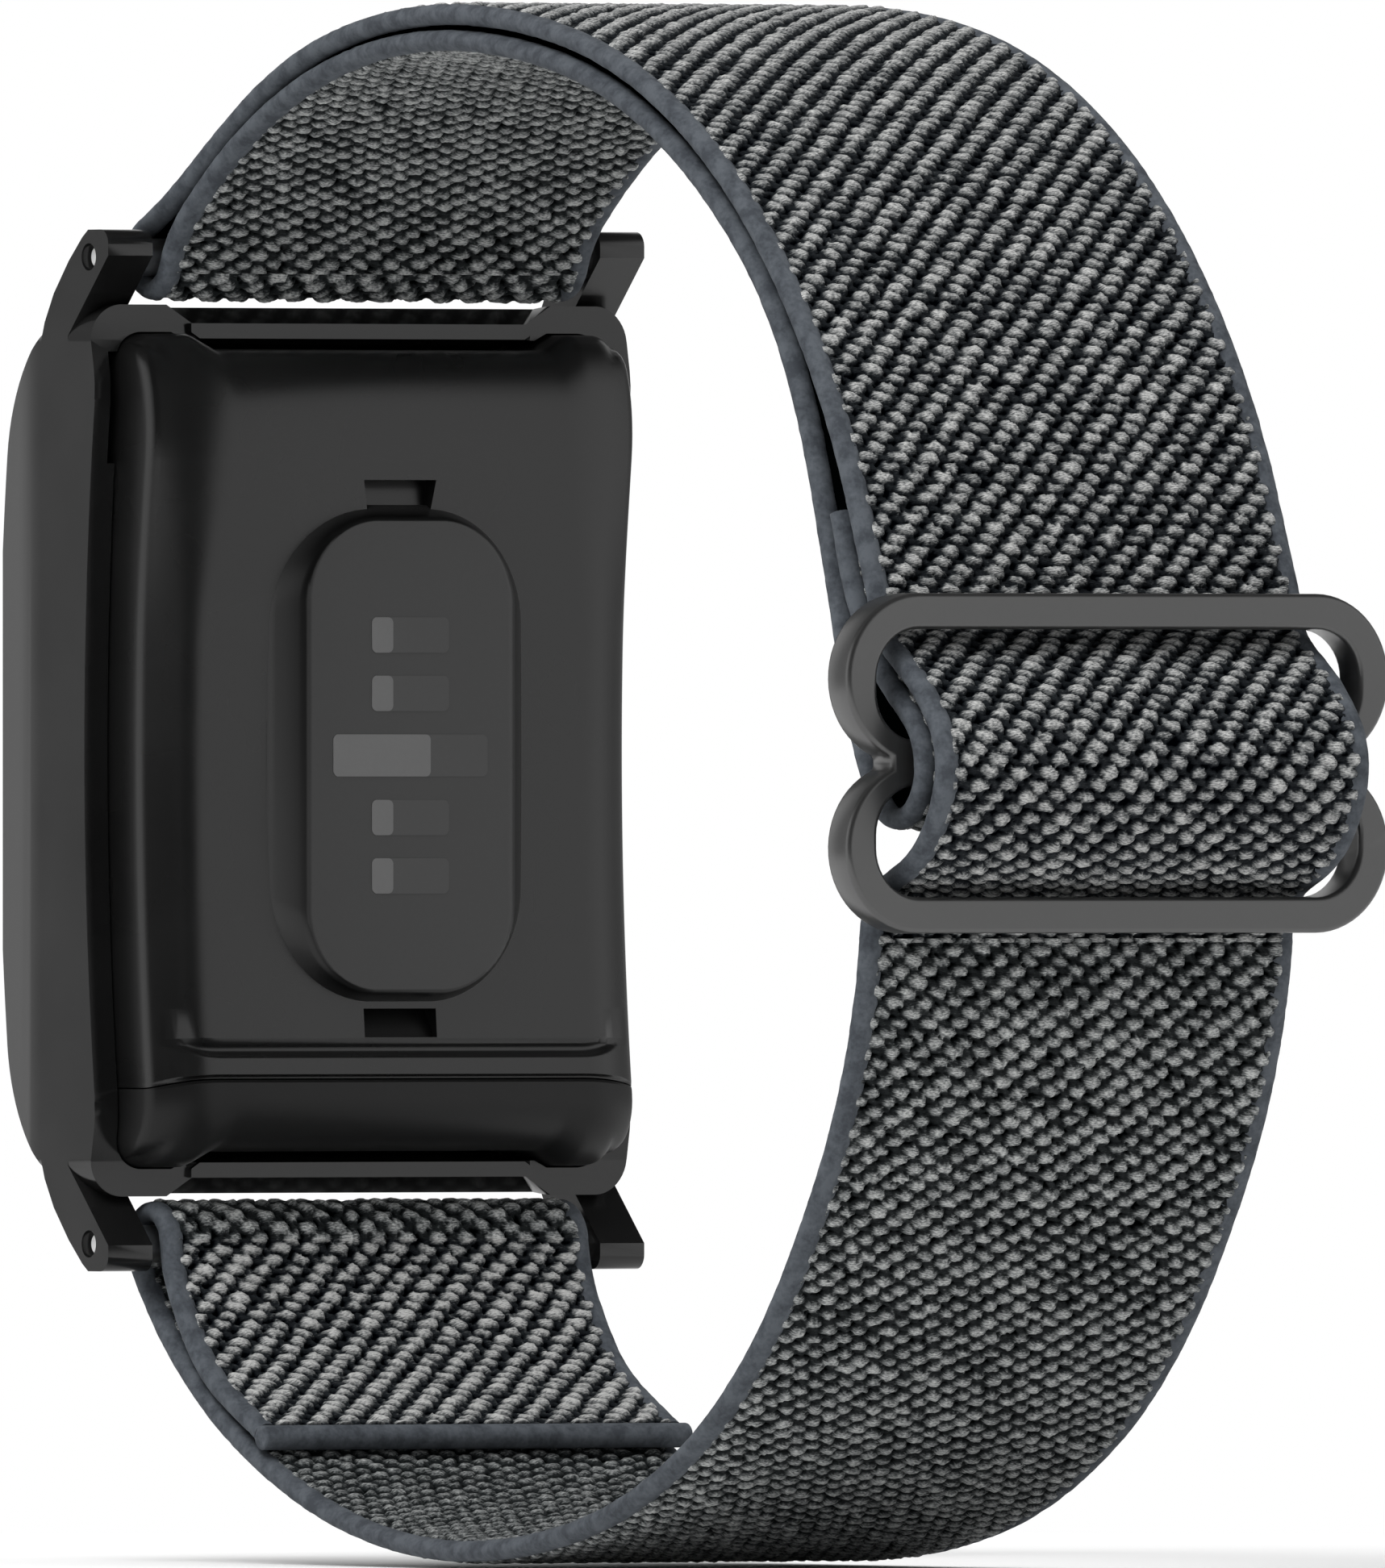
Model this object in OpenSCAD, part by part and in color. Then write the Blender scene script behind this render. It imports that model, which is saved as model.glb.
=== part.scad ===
// Elastic nylon watch strap on a lugged case that carries a sensor module.
// Frame: origin at the centre of the wrist opening, +Z towards the upper lugs,
// -Y towards the front of the case, +Y towards the slider, X along the spring bars.
// A point of the side view is [y, z], and a heading there turns from +Y towards +Z.

/* [Band] */
// Gap between each edge of the band and the lug beside it
band_side_gap = 0.5; // [0.4:0.05:1.5]
// Diameter of the rolled edges
edge_d = 1; // [0.9:0.05:1.05]
// Thickness of the woven cloth between the edges
cloth_t = 0.86; // [0.6:0.02:1]
// Gap between two layers that lie on each other
layer_gap = 0.03; // [0.02:0.01:0.2]
// Length of the folded tail under the lower lugs, measured along Y
tail_reach = 9; // [6:0.5:12]

/* [Route] */
// Height of the band's crown above the upper spring bar
crown_rise = 9.55; // [8:0.25:12]
// Depth of the band's lowest point below the lower spring bar
keel_drop = 12.15; // [10.5:0.25:14.5]
// Distance from the origin to the slider's back face
slider_y = 30.26; // [29.5:0.1:32]
// Height of the slider's middle
slider_z = 0.82; // [-1:0.1:3]

/* [Case] */
// Width of the case across the lugs
case_w = 25.4; // [25:0.1:28]
// Length of the case body between its end walls
case_l = 35.9; // [34:0.1:38]
// Height of the case's middle
case_z = 1.35; // [0.5:0.1:2]
// Back edge of the case rim at its middle
rim_y = -25.85; // [-26.5:0.05:-25.2]
// Outermost point of the front crown
front_y = -32.9; // [-34:0.1:-32.6]
// Radius of the rim along its length
rim_arc_r = 123; // [90:1:200]
// Radius of the front crown along its length
front_arc_r = 92; // [70:1:150]
// Wall of the rim beside the module
rim_wall = 1.1; // [0.9:0.05:1.4]
// Corner radius of the rim
rim_corner_r = 1.5; // [1.3:0.1:2.4]
// Thickness of each lug along X
lug_t = 2.1; // [1.9:0.05:2.4]
// Length of each retaining lip
lip_l = 15.4; // [10:0.2:16]
// Depth of each retaining lip's bend into the pocket
lip_in = 0.6; // [0.3:0.05:0.8]

/* [Spring bars] */
// Distance of each spring bar beyond the end of the case body
bar_out = 1.9; // [1.85:0.05:2.25]
// Place of the spring bars along Y
bar_y = -25.5; // [-26:0.1:-25]
// Outer diameter of the spring bar tube
tube_d = 1.5; // [1.3:0.05:1.6]
// Wall of the spring bar tube
tube_wall = 0.17; // [0.12:0.01:0.2]
// Diameter of the pin tip
tip_d = 1; // [0.8:0.05:1.02]
// Depth of the tip's end below the lug's outer face
tip_recess = 0.35; // [0.3:0.05:0.9]
// Wire diameter of the bar's coil spring
wire_d = 0.14; // [0.1:0.01:0.18]
// Number of turns of the bar's coil spring
wire_turns = 12; // [8:1:16]

/* [Slider] */
// Distance from each edge of the band to the side of the slider
slider_side = 2.6; // [2.2:0.1:3.8]
// Height of the slider
slider_h = 13.45; // [12.8:0.05:15]
// Thickness of the slider
slider_t = 1.64; // [1.4:0.02:1.8]
// Width of the slider's rails
rail_w = 1.42; // [1.2:0.02:1.6]
// Height of the slider's centre bar
centre_bar_h = 1.8; // [1.4:0.05:2]
// Depth of the notches in the slider's sides
notch_depth = 2.1; // [1.5:0.05:2.4]

/* [Module] */
// Back of the module at its middle
module_y = -22.7; // [-23.2:0.05:-22.4]
// Shell thickness of the module
shell_t = 0.8; // [0.7:0.05:1]
// Width of the sensor dome's foot
dome_w = 12.1; // [11:0.1:13]
// Length of the sensor dome's foot
dome_l = 20.2; // [18:0.1:21]
// Height of the sensor dome
dome_h = 1.28; // [0.8:0.02:1.5]
// Length of the battery cell as a share of the case's length
cell_share = 0.53; // [0.45:0.01:0.55]
// Thickness of the circuit board
board_t = 0.8; // [0.6:0.1:1]

/* [Fits] */
// Gap between the module and its pocket
pocket_gap = 0.08; // [0.05:0.01:0.15]
// Running gap between a pin and its bore, on the radius
pin_gap = 0.05; // [0.02:0.01:0.08]
// Gap between the band's loops and the spring bars
loop_gap = 0.05; // [0.03:0.01:0.15]
// Seating gap between parts that rest on each other
seat_gap = 0.05; // [0.03:0.01:0.1]

/* [Hidden] */
$fn = 48;

band_w = case_w - 2 * (lug_t + band_side_gap);
bar_span = case_l + 2 * bar_out;
slider_w = band_w + 2 * slider_side;
// Distance between the middles of two layers that lie on each other
layer_pitch = edge_d + layer_gap;
// Centre-line radius of the band's loops round the spring bars
loop_r = tube_d / 2 + loop_gap + edge_d / 2;
upper_bar = [bar_y, case_z + bar_span / 2];
lower_bar = [bar_y, case_z - bar_span / 2];
// Height of the band's crown, and depth of its lowest point
crown_z = upper_bar[1] + crown_rise;
keel_z = keel_drop - lower_bar[1];
// Below this sweep a stretch is drawn straight
least_sweep = 0.05;
// Largest turn of the band between two of its rings
turn_step = 6;

// Headings at which the band leaves the spring bars
outer_leave = 25;
inner_leave = 68;
lower_leave = -57;
tail_leave = -84;

// Geometry of the side view
function heading(h) = [cos(h), sin(h)];
function left_of(v) = [-v[1], v[0]];
function spot(s) = [s[0], s[1]];
function shifted(s, d) = concat(spot(s) + d * left_of(heading(s[2])), [s[2]]);
function sweep_to(p, h, q) = let (v = q - p, t = heading(h)) 2 * atan2(left_of(t) * v, t * v);
function radius_to(p, h, q) = let (v = q - p) (v * v) / (2 * (left_of(heading(h)) * v));

// Handle length of the two tangent arcs between stations a and b
function handle(a, b) =
    let (
        v = spot(b) - spot(a),
        ta = heading(a[2]),
        t = ta + heading(b[2]),
        k = 2 * (1 - ta * heading(b[2]))
    )
    k < 0.0001 ? (v * v) / (4 * (v * ta)) : (sqrt((v * t) * (v * t) + k * (v * v)) - v * t) / k;

// Point where the two tangent arcs meet
function meeting(a, b) =
    let (d = handle(a, b))
    (spot(a) + d * heading(a[2]) + spot(b) - d * heading(b[2])) / 2;

// Stations of the band, each [y, z, heading]
outer_start = shifted(concat(upper_bar, [outer_leave]), loop_r);
outer_route = [
    outer_start,
    [-18.7, crown_z - 3.95, 31.5],
    [-3.2, crown_z, 0],
    [15, crown_z - 4.55, -31],
    [25.4, slider_z + 14.95, -58],
    [slider_y - 0.93, slider_z + 6.41, -68]
];
inner_route = [
    shifted(concat(upper_bar, [inner_leave]), -loop_r),
    [-20.6, crown_z - 6.2, 35.5],
    shifted([-3.6, crown_z, 0], -layer_pitch),
    shifted([14.9, crown_z - 4.5, -31], -layer_pitch - 0.15),
    [23.4, slider_z + 15.1, -64],
    [slider_y - 3.8, slider_z + 6.2, -74]
];
lower_route = [
    shifted(concat(lower_bar, [lower_leave]), -loop_r),
    [-19, 4.45 - keel_z, -29.5],
    [-1.9, -keel_z, 0],
    [15.3, 4.15 - keel_z, 30],
    [22.8, 10.95 - keel_z, 54],
    [27.6, slider_z - 11.8, 71.5],
    [slider_y - 1.56, slider_z - 6.9, 85]
];
wrap_route = [
    outer_route[5],
    [slider_y - 0.22, slider_z + 4.75, -39],
    [slider_y + 1.5, slider_z + 3.53, -35.5],
    [slider_y + 3.95, slider_z - 0.9, -106],
    [slider_y + 2.27, slider_z - 3.52, -140],
    [slider_y - 0.12, slider_z - 4.75, -156.5],
    [slider_y - 1.56, slider_z - 6.8, -96]
];
loop_route = [
    inner_route[5],
    [slider_y - 1.55, slider_z - 0.35, -62],
    [slider_y + 0.51, slider_z - 2.2, 0],
    [slider_y + 2.5, slider_z - 0.21, 90],
    [slider_y - 0.44, slider_z + 3.46, 138.5],
    [slider_y - 2.65, slider_z + 6.71, 116],
    [slider_y - 3.75, slider_z + 9.9, 109]
];

// Headings and places along one arc from p at heading h to q, as [y, z, heading]
function arc_steps(p, h, q) =
    let (
        sweep = sweep_to(p, h, q),
        r = radius_to(p, h, q),
        n = max(1, ceil(abs(sweep) / turn_step))
    )
    [
        for (i = [0 : n - 1])
            let (a = sweep * i / n)
            abs(sweep) < least_sweep
                ? concat(p + (q - p) * i / n, [h])
                : concat(p + r * (left_of(heading(h)) - left_of(heading(h + a))), [h + a])
    ];

// Places along a whole route, two tangent arcs for each pair of stations
function route_steps(route) = [
    for (i = [0 : len(route) - 2])
        let (
            a = route[i],
            b = route[i + 1],
            m = meeting(a, b),
            turned = a[2] + sweep_to(spot(a), a[2], m)
        )
        each concat(arc_steps(spot(a), a[2], m), arc_steps(m, turned, spot(b))),
    route[len(route) - 1]
];

// Place on the lower layer at a distance y along Y
lower_steps = route_steps(lower_route);
function lower_at(y) =
    let (
        i = [for (k = [0 : len(lower_steps) - 2]) if (lower_steps[k + 1][0] >= y) k][0],
        a = lower_steps[i],
        b = lower_steps[i + 1]
    )
    a + (b - a) * (y - a[0]) / (b[0] - a[0]);

tail_route = [
    shifted(concat(lower_bar, [tail_leave]), loop_r),
    [-22.2, 8.1 - keel_z, -52],
    shifted(lower_at(bar_y + tail_reach - edge_d), layer_pitch + 0.05)
];

// Section of the band as [across, out]: flat cloth between two rolled edges
edge_open = 180 - asin(cloth_t / edge_d);
band_section = [
    for (side = [1, -1], k = [-3 : 3])
        let (a = edge_open * k / 3)
        [side * ((band_w - edge_d) / 2 + edge_d / 2 * cos(a)), side * edge_d / 2 * sin(a)]
];

// Lays the plane of the side view upright, with its normal along X
module in_side_view() rotate([90, 0, 90]) children();

// The band along a list of stations, as one closed strip
module band_run(route) {
    steps = route_steps(route);
    m = len(band_section);
    points = [
        for (s = steps, c = band_section)
            let (p = spot(s) + c[1] * left_of(heading(s[2])))
            [c[0], p[0], p[1]]
    ];
    walls = [
        for (i = [0 : len(steps) - 2], k = [0 : m - 1])
            let (
                a = i * m + k,
                b = i * m + (k + 1) % m
            )
            each [[a, b + m, b], [a, a + m, b + m]]
    ];
    ends = [
        [for (k = [0 : m - 1]) k],
        [for (k = [0 : m - 1]) len(points) - 1 - k]
    ];
    polyhedron(points, concat(walls, ends), convexity = 10);
}

// Loop of the band round a spring bar, from one polar angle to another
module band_loop(centre, from, to)
    in_side_view() translate(centre) rotate(from)
        rotate_extrude(angle = to - from, $fn = 96)
            translate([loop_r, 0]) {
                square([cloth_t, band_w - edge_d], center = true);
                for (side = [-1, 1])
                    translate([0, side * (band_w - edge_d) / 2])
                        circle(d = edge_d, $fn = 24);
            }

// Case

rim_axis_y = rim_y + rim_arc_r;
front_axis_y = front_y + front_arc_r;
lug_in = case_w / 2 - lug_t;
pocket_w = case_w - 2 * rim_wall;
pocket_l = case_l - 2 * rim_wall;
pocket_corner_r = rim_corner_r - rim_wall + 0.9;
front_wall = 1.1;
// Half length of the raised front crown, and the depth of its shoulders
crown_half = case_l / 2 - 1.65;
crown_shoulder_y = -29.25;
shoulder_r = 7;
// Middle of the shoulders' rounding, along Z from the case's middle and along Y
shoulder_z = case_l / 2 - shoulder_r;
shoulder_y = front_axis_y - sqrt(pow(front_arc_r - shoulder_r, 2) - pow(shoulder_z, 2));
rim_end_y = rim_y + 0.45;
lip_hollow_d = 0.75;
// Height of the lug's tip, and the side view of its back and its nose along Y
lug_tip_z = bar_span / 2 + 1.1;
lug_nose_y = bar_y - 0.3;
lug_back_y = bar_y + 1.5;
lug_root_y = bar_y - 1.6;
lug_tip_r = 0.6;
// A plane behind every part of the case
behind_y = -18;

// Outline of the pocket seen from the back, in by a gap: the ends bend in at the lips
module pocket_outline(gap) {
    r = max(0.15, pocket_corner_r - gap);
    w = pocket_w - 2 * gap;
    l = pocket_l - 2 * gap;
    difference() {
        union() {
            square([w, l - 2 * r], center = true);
            square([w - 2 * r, l], center = true);
            for (x = [-1, 1], z = [-1, 1])
                translate([x * (w / 2 - r), z * (l / 2 - r)]) circle(r);
        }
        for (z = [-1, 1])
            scale([1, z])
                translate([0, l / 2 - lip_in])
                    polygon([
                        [-lip_l / 2 - 1.2 - gap, lip_in + 1], [-lip_l / 2 - 1.2 - gap, lip_in],
                        [-lip_l / 2 - gap, 0], [lip_l / 2 + gap, 0],
                        [lip_l / 2 + 1.2 + gap, lip_in], [lip_l / 2 + 1.2 + gap, lip_in + 1]
                    ]);
    }
}

// Draws an outline seen from the back as a prism between two places along Y
module along_y(from, to)
    translate([0, to, 0]) rotate([90, 0, 0]) linear_extrude(to - from) children();

// A round bar along X through a point of the side view
module along_x(p, r, from, to, sides = 48)
    translate([from, p[0], p[1]]) rotate([0, 90, 0]) cylinder(r = r, h = to - from, $fn = sides);

// Side view of the front: a long crown between two round shoulders, in by an inset
module front_outline(inset) {
    half = case_l / 2 - inset;
    r = shoulder_r - inset;
    reach = front_arc_r - inset;
    along = half - r;
    touch = along * reach / (reach - r);
    intersection() {
        translate([front_axis_y, 0]) circle(reach, $fn = 720);
        union() {
            translate([shoulder_y, -half]) square([30, 2 * half]);
            translate([front_y - 1, -touch]) square([30, 2 * touch]);
            for (side = [-1, 1]) translate([shoulder_y, side * along]) circle(r, $fn = 96);
        }
    }
}

// Block between the crown of the front and the arc of the rim
module case_side(w)
    in_side_view() linear_extrude(w, center = true)
        difference() {
            intersection() {
                front_outline(0);
                translate([front_y - 1, -case_l / 2]) square([12, case_l]);
            }
            translate([rim_axis_y, 0]) circle(rim_arc_r, $fn = 720);
        }

// Section of the case across its length, with bevelled front edges
module case_cross(l) {
    half = case_w / 2;
    lean = 0.25;
    edge = 0.7;
    linear_extrude(l, center = true)
        polygon([
            [-half, behind_y], [-half, crown_shoulder_y - 0.65],
            [lean - half, front_y + 0.35], [lean + edge - half, front_y - 0.05],
            [half - lean - edge, front_y - 0.05], [half - lean, front_y + 0.35],
            [half, crown_shoulder_y - 0.65], [half, behind_y]
        ]);
}

// Side view of the room behind the rim's ends, which lie lower than its long sides
module rim_end_room()
    for (side = [-1, 1])
        scale([1, side])
            polygon([
                [rim_y + 1.2, case_l / 2 - 4.4], [rim_y + 0.79, case_l / 2 - 3.8],
                [rim_y + 0.81, case_l / 2 - 3.2], [rim_y + 0.74, case_l / 2 - 2.6],
                [rim_y + 0.62, case_l / 2 - 2], [rim_y + 0.5, case_l / 2 - 1.4],
                [rim_end_y, case_l / 2 - 0.6], [rim_end_y, case_l / 2 + 1],
                [behind_y, case_l / 2 + 1], [behind_y, case_l / 2 - 4.4]
            ]);

// Hollow outside a rim end, where the end wall bends in behind its retaining lip
module lip_hollow()
    intersection() {
        along_y(front_y, behind_y)
            polygon([
                [-lip_l / 2 - 1.4, case_l / 2 + 1], [-lip_l / 2 - 1.4, case_l / 2],
                [-lip_l / 2 - 0.2, case_l / 2 - lip_hollow_d], [lip_l / 2 + 0.2, case_l / 2 - lip_hollow_d],
                [lip_l / 2 + 1.4, case_l / 2], [lip_l / 2 + 1.4, case_l / 2 + 1]
            ]);
        in_side_view() linear_extrude(case_w, center = true)
            polygon([
                [behind_y, case_l / 2 - lip_hollow_d - 1], [rim_end_y - 0.15, case_l / 2 - lip_hollow_d],
                [rim_end_y - 1.25, case_l / 2 + 0.02], [rim_end_y - 1.25, case_l / 2 + 1],
                [behind_y, case_l / 2 + 1]
            ]);
    }

// Relief in the rim's side walls beside the module's upper corners
module corner_relief()
    for (x = [-1, 1])
        translate([x * pocket_w / 2, rim_y, pocket_l / 2 - 3.05])
            cube([0.7, 4, 4.5], center = true);

// Outline of the rim seen from the back
module rim_outline() {
    for (x = [-1, 1], z = [-1, 1])
        translate([x * (case_w / 2 - rim_corner_r), z * (case_l / 2 - rim_corner_r)])
            circle(rim_corner_r);
    square([case_w, case_l - 2 * rim_corner_r], center = true);
    square([case_w - 2 * rim_corner_r, case_l], center = true);
}

// Side view of an upper lug: a horn from the crown's shoulder to the spring bar
module lug_side() {
    polygon([
        [crown_shoulder_y - 0.35, crown_half - 3], [crown_shoulder_y, crown_half],
        [crown_shoulder_y + 0.35, crown_half + 0.95], [crown_shoulder_y + 1.05, crown_half + 2.1],
        [crown_shoulder_y + 2.2, crown_half + 3.4], [lug_nose_y - 0.2, lug_tip_z - 0.3],
        [lug_nose_y + 0.25, lug_tip_z], [lug_back_y - lug_tip_r, lug_tip_z],
        [lug_back_y, lug_tip_z - lug_tip_r], [lug_back_y, lug_tip_z - 1.05],
        [lug_root_y, crown_half + 0.4], [lug_root_y, crown_half - 3]
    ]);
    translate([lug_back_y - lug_tip_r, lug_tip_z - lug_tip_r]) circle(lug_tip_r);
}

module lug_pair()
    for (x = [-1, 1])
        translate([x * (lug_in + lug_t / 2), 0, 0])
            in_side_view() linear_extrude(lug_t, center = true) lug_side();

module retaining_lip() {
    inner = pocket_l / 2 - lip_in;
    outer = case_l / 2 - lip_hollow_d;
    proud = 0.3;
    along_y(rim_end_y - 3, rim_end_y + proud)
        polygon([
            [-lip_l / 2, inner], [lip_l / 2, inner], [lip_l / 2 + 0.4, inner + 0.25],
            [lip_l / 2 + 0.4, outer], [-lip_l / 2 - 0.4, outer], [-lip_l / 2 - 0.4, inner + 0.25]
        ]);
}

module case_shell()
    color("#2b2b2c")
    translate([0, 0, case_z])
    difference() {
        union() {
            difference() {
                union() {
                    difference() {
                        intersection() {
                            case_side(case_w + 2);
                            case_cross(case_l + 2);
                            along_y(front_y - 2, behind_y) rim_outline();
                        }
                        in_side_view() linear_extrude(case_w + 2, center = true) rim_end_room();
                    }
                    for (z = [0, 1]) mirror([0, 0, z]) lug_pair();
                }
                intersection() {
                    along_y(front_y, behind_y) pocket_outline(0);
                    in_side_view() linear_extrude(case_w, center = true) front_outline(front_wall);
                }
                for (z = [0, 1]) mirror([0, 0, z]) lip_hollow();
                corner_relief();
            }
            for (z = [0, 1]) mirror([0, 0, z]) retaining_lip();
        }
        for (z = [-1, 1])
            along_x([bar_y, z * bar_span / 2], tip_d / 2 + pin_gap, -case_w, case_w);
    }

// Spring bars

tube_half = lug_in - 0.25;
bore_r = tube_d / 2 - tube_wall;
mouth_l = 0.35;
plunger_l = 1;
plunger_r = bore_r - pin_gap / 2 - 0.01;
plunger_out = tube_half - mouth_l - seat_gap / 2;
tip_out = case_w / 2 - tip_recess;
spring_half = plunger_out - plunger_l - 0.05;
coil_r = bore_r - wire_d / 2 - 0.03;

module bar_tube(at)
    color("#9a9da0")
    difference() {
        along_x(at, tube_d / 2, -tube_half, tube_half);
        along_x(at, bore_r, mouth_l - tube_half, tube_half - mouth_l);
        along_x(at, min(tip_d / 2 + pin_gap / 2, bore_r - 0.03), -tube_half - 1, tube_half + 1);
    }

// A pin with its plunger inside the tube; side is 1 at +X and -1 at -X
module bar_tip(at, side)
    color("#c9ccd0")
    mirror([side < 0 ? 1 : 0, 0, 0]) {
        along_x(at, plunger_r, plunger_out - plunger_l, plunger_out);
        along_x(at, min(tip_d / 2, plunger_r - 0.02), plunger_out - 0.1, tip_out - 0.15);
        translate([tip_out - 0.15, at[0], at[1]]) rotate([0, 90, 0])
            cylinder(r1 = tip_d / 2, r2 = tip_d / 2 - 0.12, h = 0.15);
    }

// Rings of points along a helix, and the closed tube through them
module bar_spring(at) {
    sides = 6;
    rings = 8 * wire_turns;
    points = [
        for (i = [0 : rings], k = [0 : sides - 1])
            let (
                turn = 360 * wire_turns * i / rings,
                r = coil_r + wire_d / 2 * cos(360 * k / sides),
                x = (spring_half * 2 - wire_d) * (i / rings - 0.5) + wire_d / 2 * sin(360 * k / sides)
            )
            [x, at[0] + r * cos(turn), at[1] + r * sin(turn)]
    ];
    walls = [
        for (i = [0 : rings - 1], k = [0 : sides - 1], half = [0, 1])
            let (
                a = i * sides + k,
                b = i * sides + (k + 1) % sides
            )
            half == 0 ? [a, b, b + sides] : [a, b + sides, a + sides]
    ];
    ends = [
        [for (k = [0 : sides - 1]) sides - 1 - k],
        [for (k = [0 : sides - 1]) rings * sides + k]
    ];
    color("#b5b8bb") polyhedron(points, concat(walls, ends), convexity = 10);
}

// Sensor module

split_y = -27.4;
gasket_t = 0.3;
gasket_w = 0.5;
module_half_w = pocket_w / 2 - pocket_gap;
module_half_l = pocket_l / 2 - pocket_gap;
// Rounding of the module's long edges, and the run of the broad shoulders beside them
module_edge_r = 0.35;
shoulder_run = 2.7;
// Middle of the transverse land and half the distance between its two lines
land_z = -12.62;
land_half = 0.57;
cap_gap = 0.06;
board_y = -26.3;
window_list = [
    [4.85, 3.65, 1.43, 1.0], [2.5, 3.65, 1.43, 1.0], [0, 7.3, 1.7, 4.6],
    [-2.5, 3.65, 1.43, 1.0], [-4.85, 3.65, 1.43, 1.0]
];
window_t = 0.6;
window_gap = 0.04;
dome_corner_r = 4.8;
dome_seat = 0.6;
window_floor_y = module_y + dome_h - window_t;
dome_z = -0.2;

// Room that the module fills up to its joint, in by an inset from its skin
module module_room(inset)
    intersection() {
        along_y(front_y, behind_y) pocket_outline(pocket_gap + inset);
        in_side_view() linear_extrude(pocket_w, center = true)
            front_outline(front_wall + seat_gap + inset);
    }

// Inner face of the front cover, at a distance along Z from the case's middle
function cover_inner_y(z) =
    let (
        inset = front_wall + seat_gap + shell_t,
        reach = front_arc_r - inset,
        r = shoulder_r - inset,
        touch = shoulder_z * reach / (reach - r)
    )
    z <= touch
        ? front_axis_y - sqrt(reach * reach - z * z)
        : shoulder_y - sqrt(r * r - pow(z - shoulder_z, 2));

// Section of the module's back across its length: broad falling shoulders and small edges
module back_across() {
    reach = module_half_w - module_edge_r * (1 - cos(45));
    half_line = concat(
        [
            for (i = [0 : 10])
                let (u = i / 10)
                [reach - shoulder_run * (1 - u), module_y - shoulder_run / 2 * u * u]
        ],
        [
            for (a = [33.75, 22.5, 11.25, 0])
                [
                    module_half_w - module_edge_r * (1 - cos(a)),
                    module_y - shoulder_run / 2 - module_edge_r * (sin(45) - sin(a))
                ]
        ],
        [[module_half_w, split_y - 1]]
    );
    polygon(concat(half_line, [for (i = [len(half_line) - 1 : -1 : 0]) [-half_line[i][0], half_line[i][1]]]));
}

// Side view of one end of the module's back, which falls along an ellipse
function end_fall(side, run, fall) = [
    for (a = [0 : 9 : 90])
        let (z = module_half_l - run * (1 - sin(a)))
        [module_y + z * z / (2 * rim_arc_r) - fall * (1 - cos(a)), side * z]
];

// Outer form of the module behind its joint
module module_back_form() {
    lower_end = end_fall(-1, 3.2, 3.2);
    upper_end = end_fall(1, 5, 2.6);
    intersection() {
        module_room(0);
        along_y(split_y, behind_y) square([case_w, case_l], center = true);
        in_side_view() linear_extrude(pocket_w, center = true)
            polygon(concat(
                [[split_y - 1, module_half_l], [split_y - 1, -module_half_l]],
                [for (i = [len(lower_end) - 1 : -1 : 0]) lower_end[i]],
                upper_end
            ));
        linear_extrude(pocket_l, center = true) back_across();
    }
}

module pill(w, l, r) {
    square([w, l - 2 * r], center = true);
    square([w - 2 * r, l], center = true);
    for (x = [-1, 1], z = [-1, 1])
        translate([x * (w / 2 - r), z * (l / 2 - r)]) circle(r);
}

module module_front_cover()
    color("#1b1b1c")
    translate([0, 0, case_z])
    difference() {
        intersection() {
            module_room(0);
            along_y(front_y, split_y) square([case_w, case_l], center = true);
        }
        module_room(shell_t);
    }

// Line across the module's back that bends up or down by a rise at its ends
function land_line(z, rise) = [
    for (i = [-32 : 32])
        let (x = i * pocket_w / 64)
        [x, z + rise * pow(max(0, abs(x) - pocket_w / 2 + 3) / 3, 2)]
];
upper_line = land_line(land_z + land_half, 1.25);
lower_line = land_line(land_z - land_half, -0.4);

// Part of the back below the lower line, down by a gap
module below_land(gap)
    translate([0, -gap])
        polygon(concat([[-pocket_w / 2, -case_l / 2]], lower_line, [[pocket_w / 2, -case_l / 2]]));

// Groove along a line, of the same depth over the whole rounded back
module land_groove(line, w, depth)
    difference() {
        along_y(split_y, behind_y)
            polygon(concat(
                [for (p = line) p + [0, w / 2]],
                [for (i = [len(line) - 1 : -1 : 0]) line[i] - [0, w / 2]]
            ));
        translate([0, -depth, 0]) module_back_form();
    }

module module_back_cover()
    color("#222223")
    translate([0, 0, case_z])
    difference() {
        module_back_form();
        along_y(split_y - 1, module_y - 1.9) square([pocket_w - 2.4, pocket_l - 3.8], center = true);
        along_y(module_y - 2, behind_y) translate([0, dome_z])
            pill(dome_w - 1.2, dome_l - 1.2, dome_corner_r - 0.3);
        along_y(module_y - dome_seat - seat_gap, behind_y) translate([0, dome_z])
            pill(dome_w + 2 * seat_gap, dome_l + 2 * seat_gap, dome_corner_r + seat_gap);
        along_y(module_y - 1.2, behind_y)
            for (z = [-1, 1])
                translate([0, dome_z + z * (dome_l / 2 + 0.6)]) square([3.4, 1.2], center = true);
        land_groove(upper_line, 0.45, 0.3);
        land_groove(lower_line, 0.25, 0.22);
        along_y(module_y - 3, behind_y) below_land(0);
    }

module module_end_cap()
    color("#1e1e1f")
    translate([0, 0, case_z])
    intersection() {
        module_back_form();
        along_y(module_y - 3 + cap_gap, behind_y) below_land(cap_gap);
    }

module cover_gasket()
    color("#3c4043")
    translate([0, 0, case_z])
    difference() {
        intersection() {
            module_room(shell_t + 0.03);
            along_y(split_y - gasket_t - 0.02, split_y - 0.02) square([case_w, case_l], center = true);
        }
        module_room(shell_t + 0.03 + gasket_w);
    }

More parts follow.
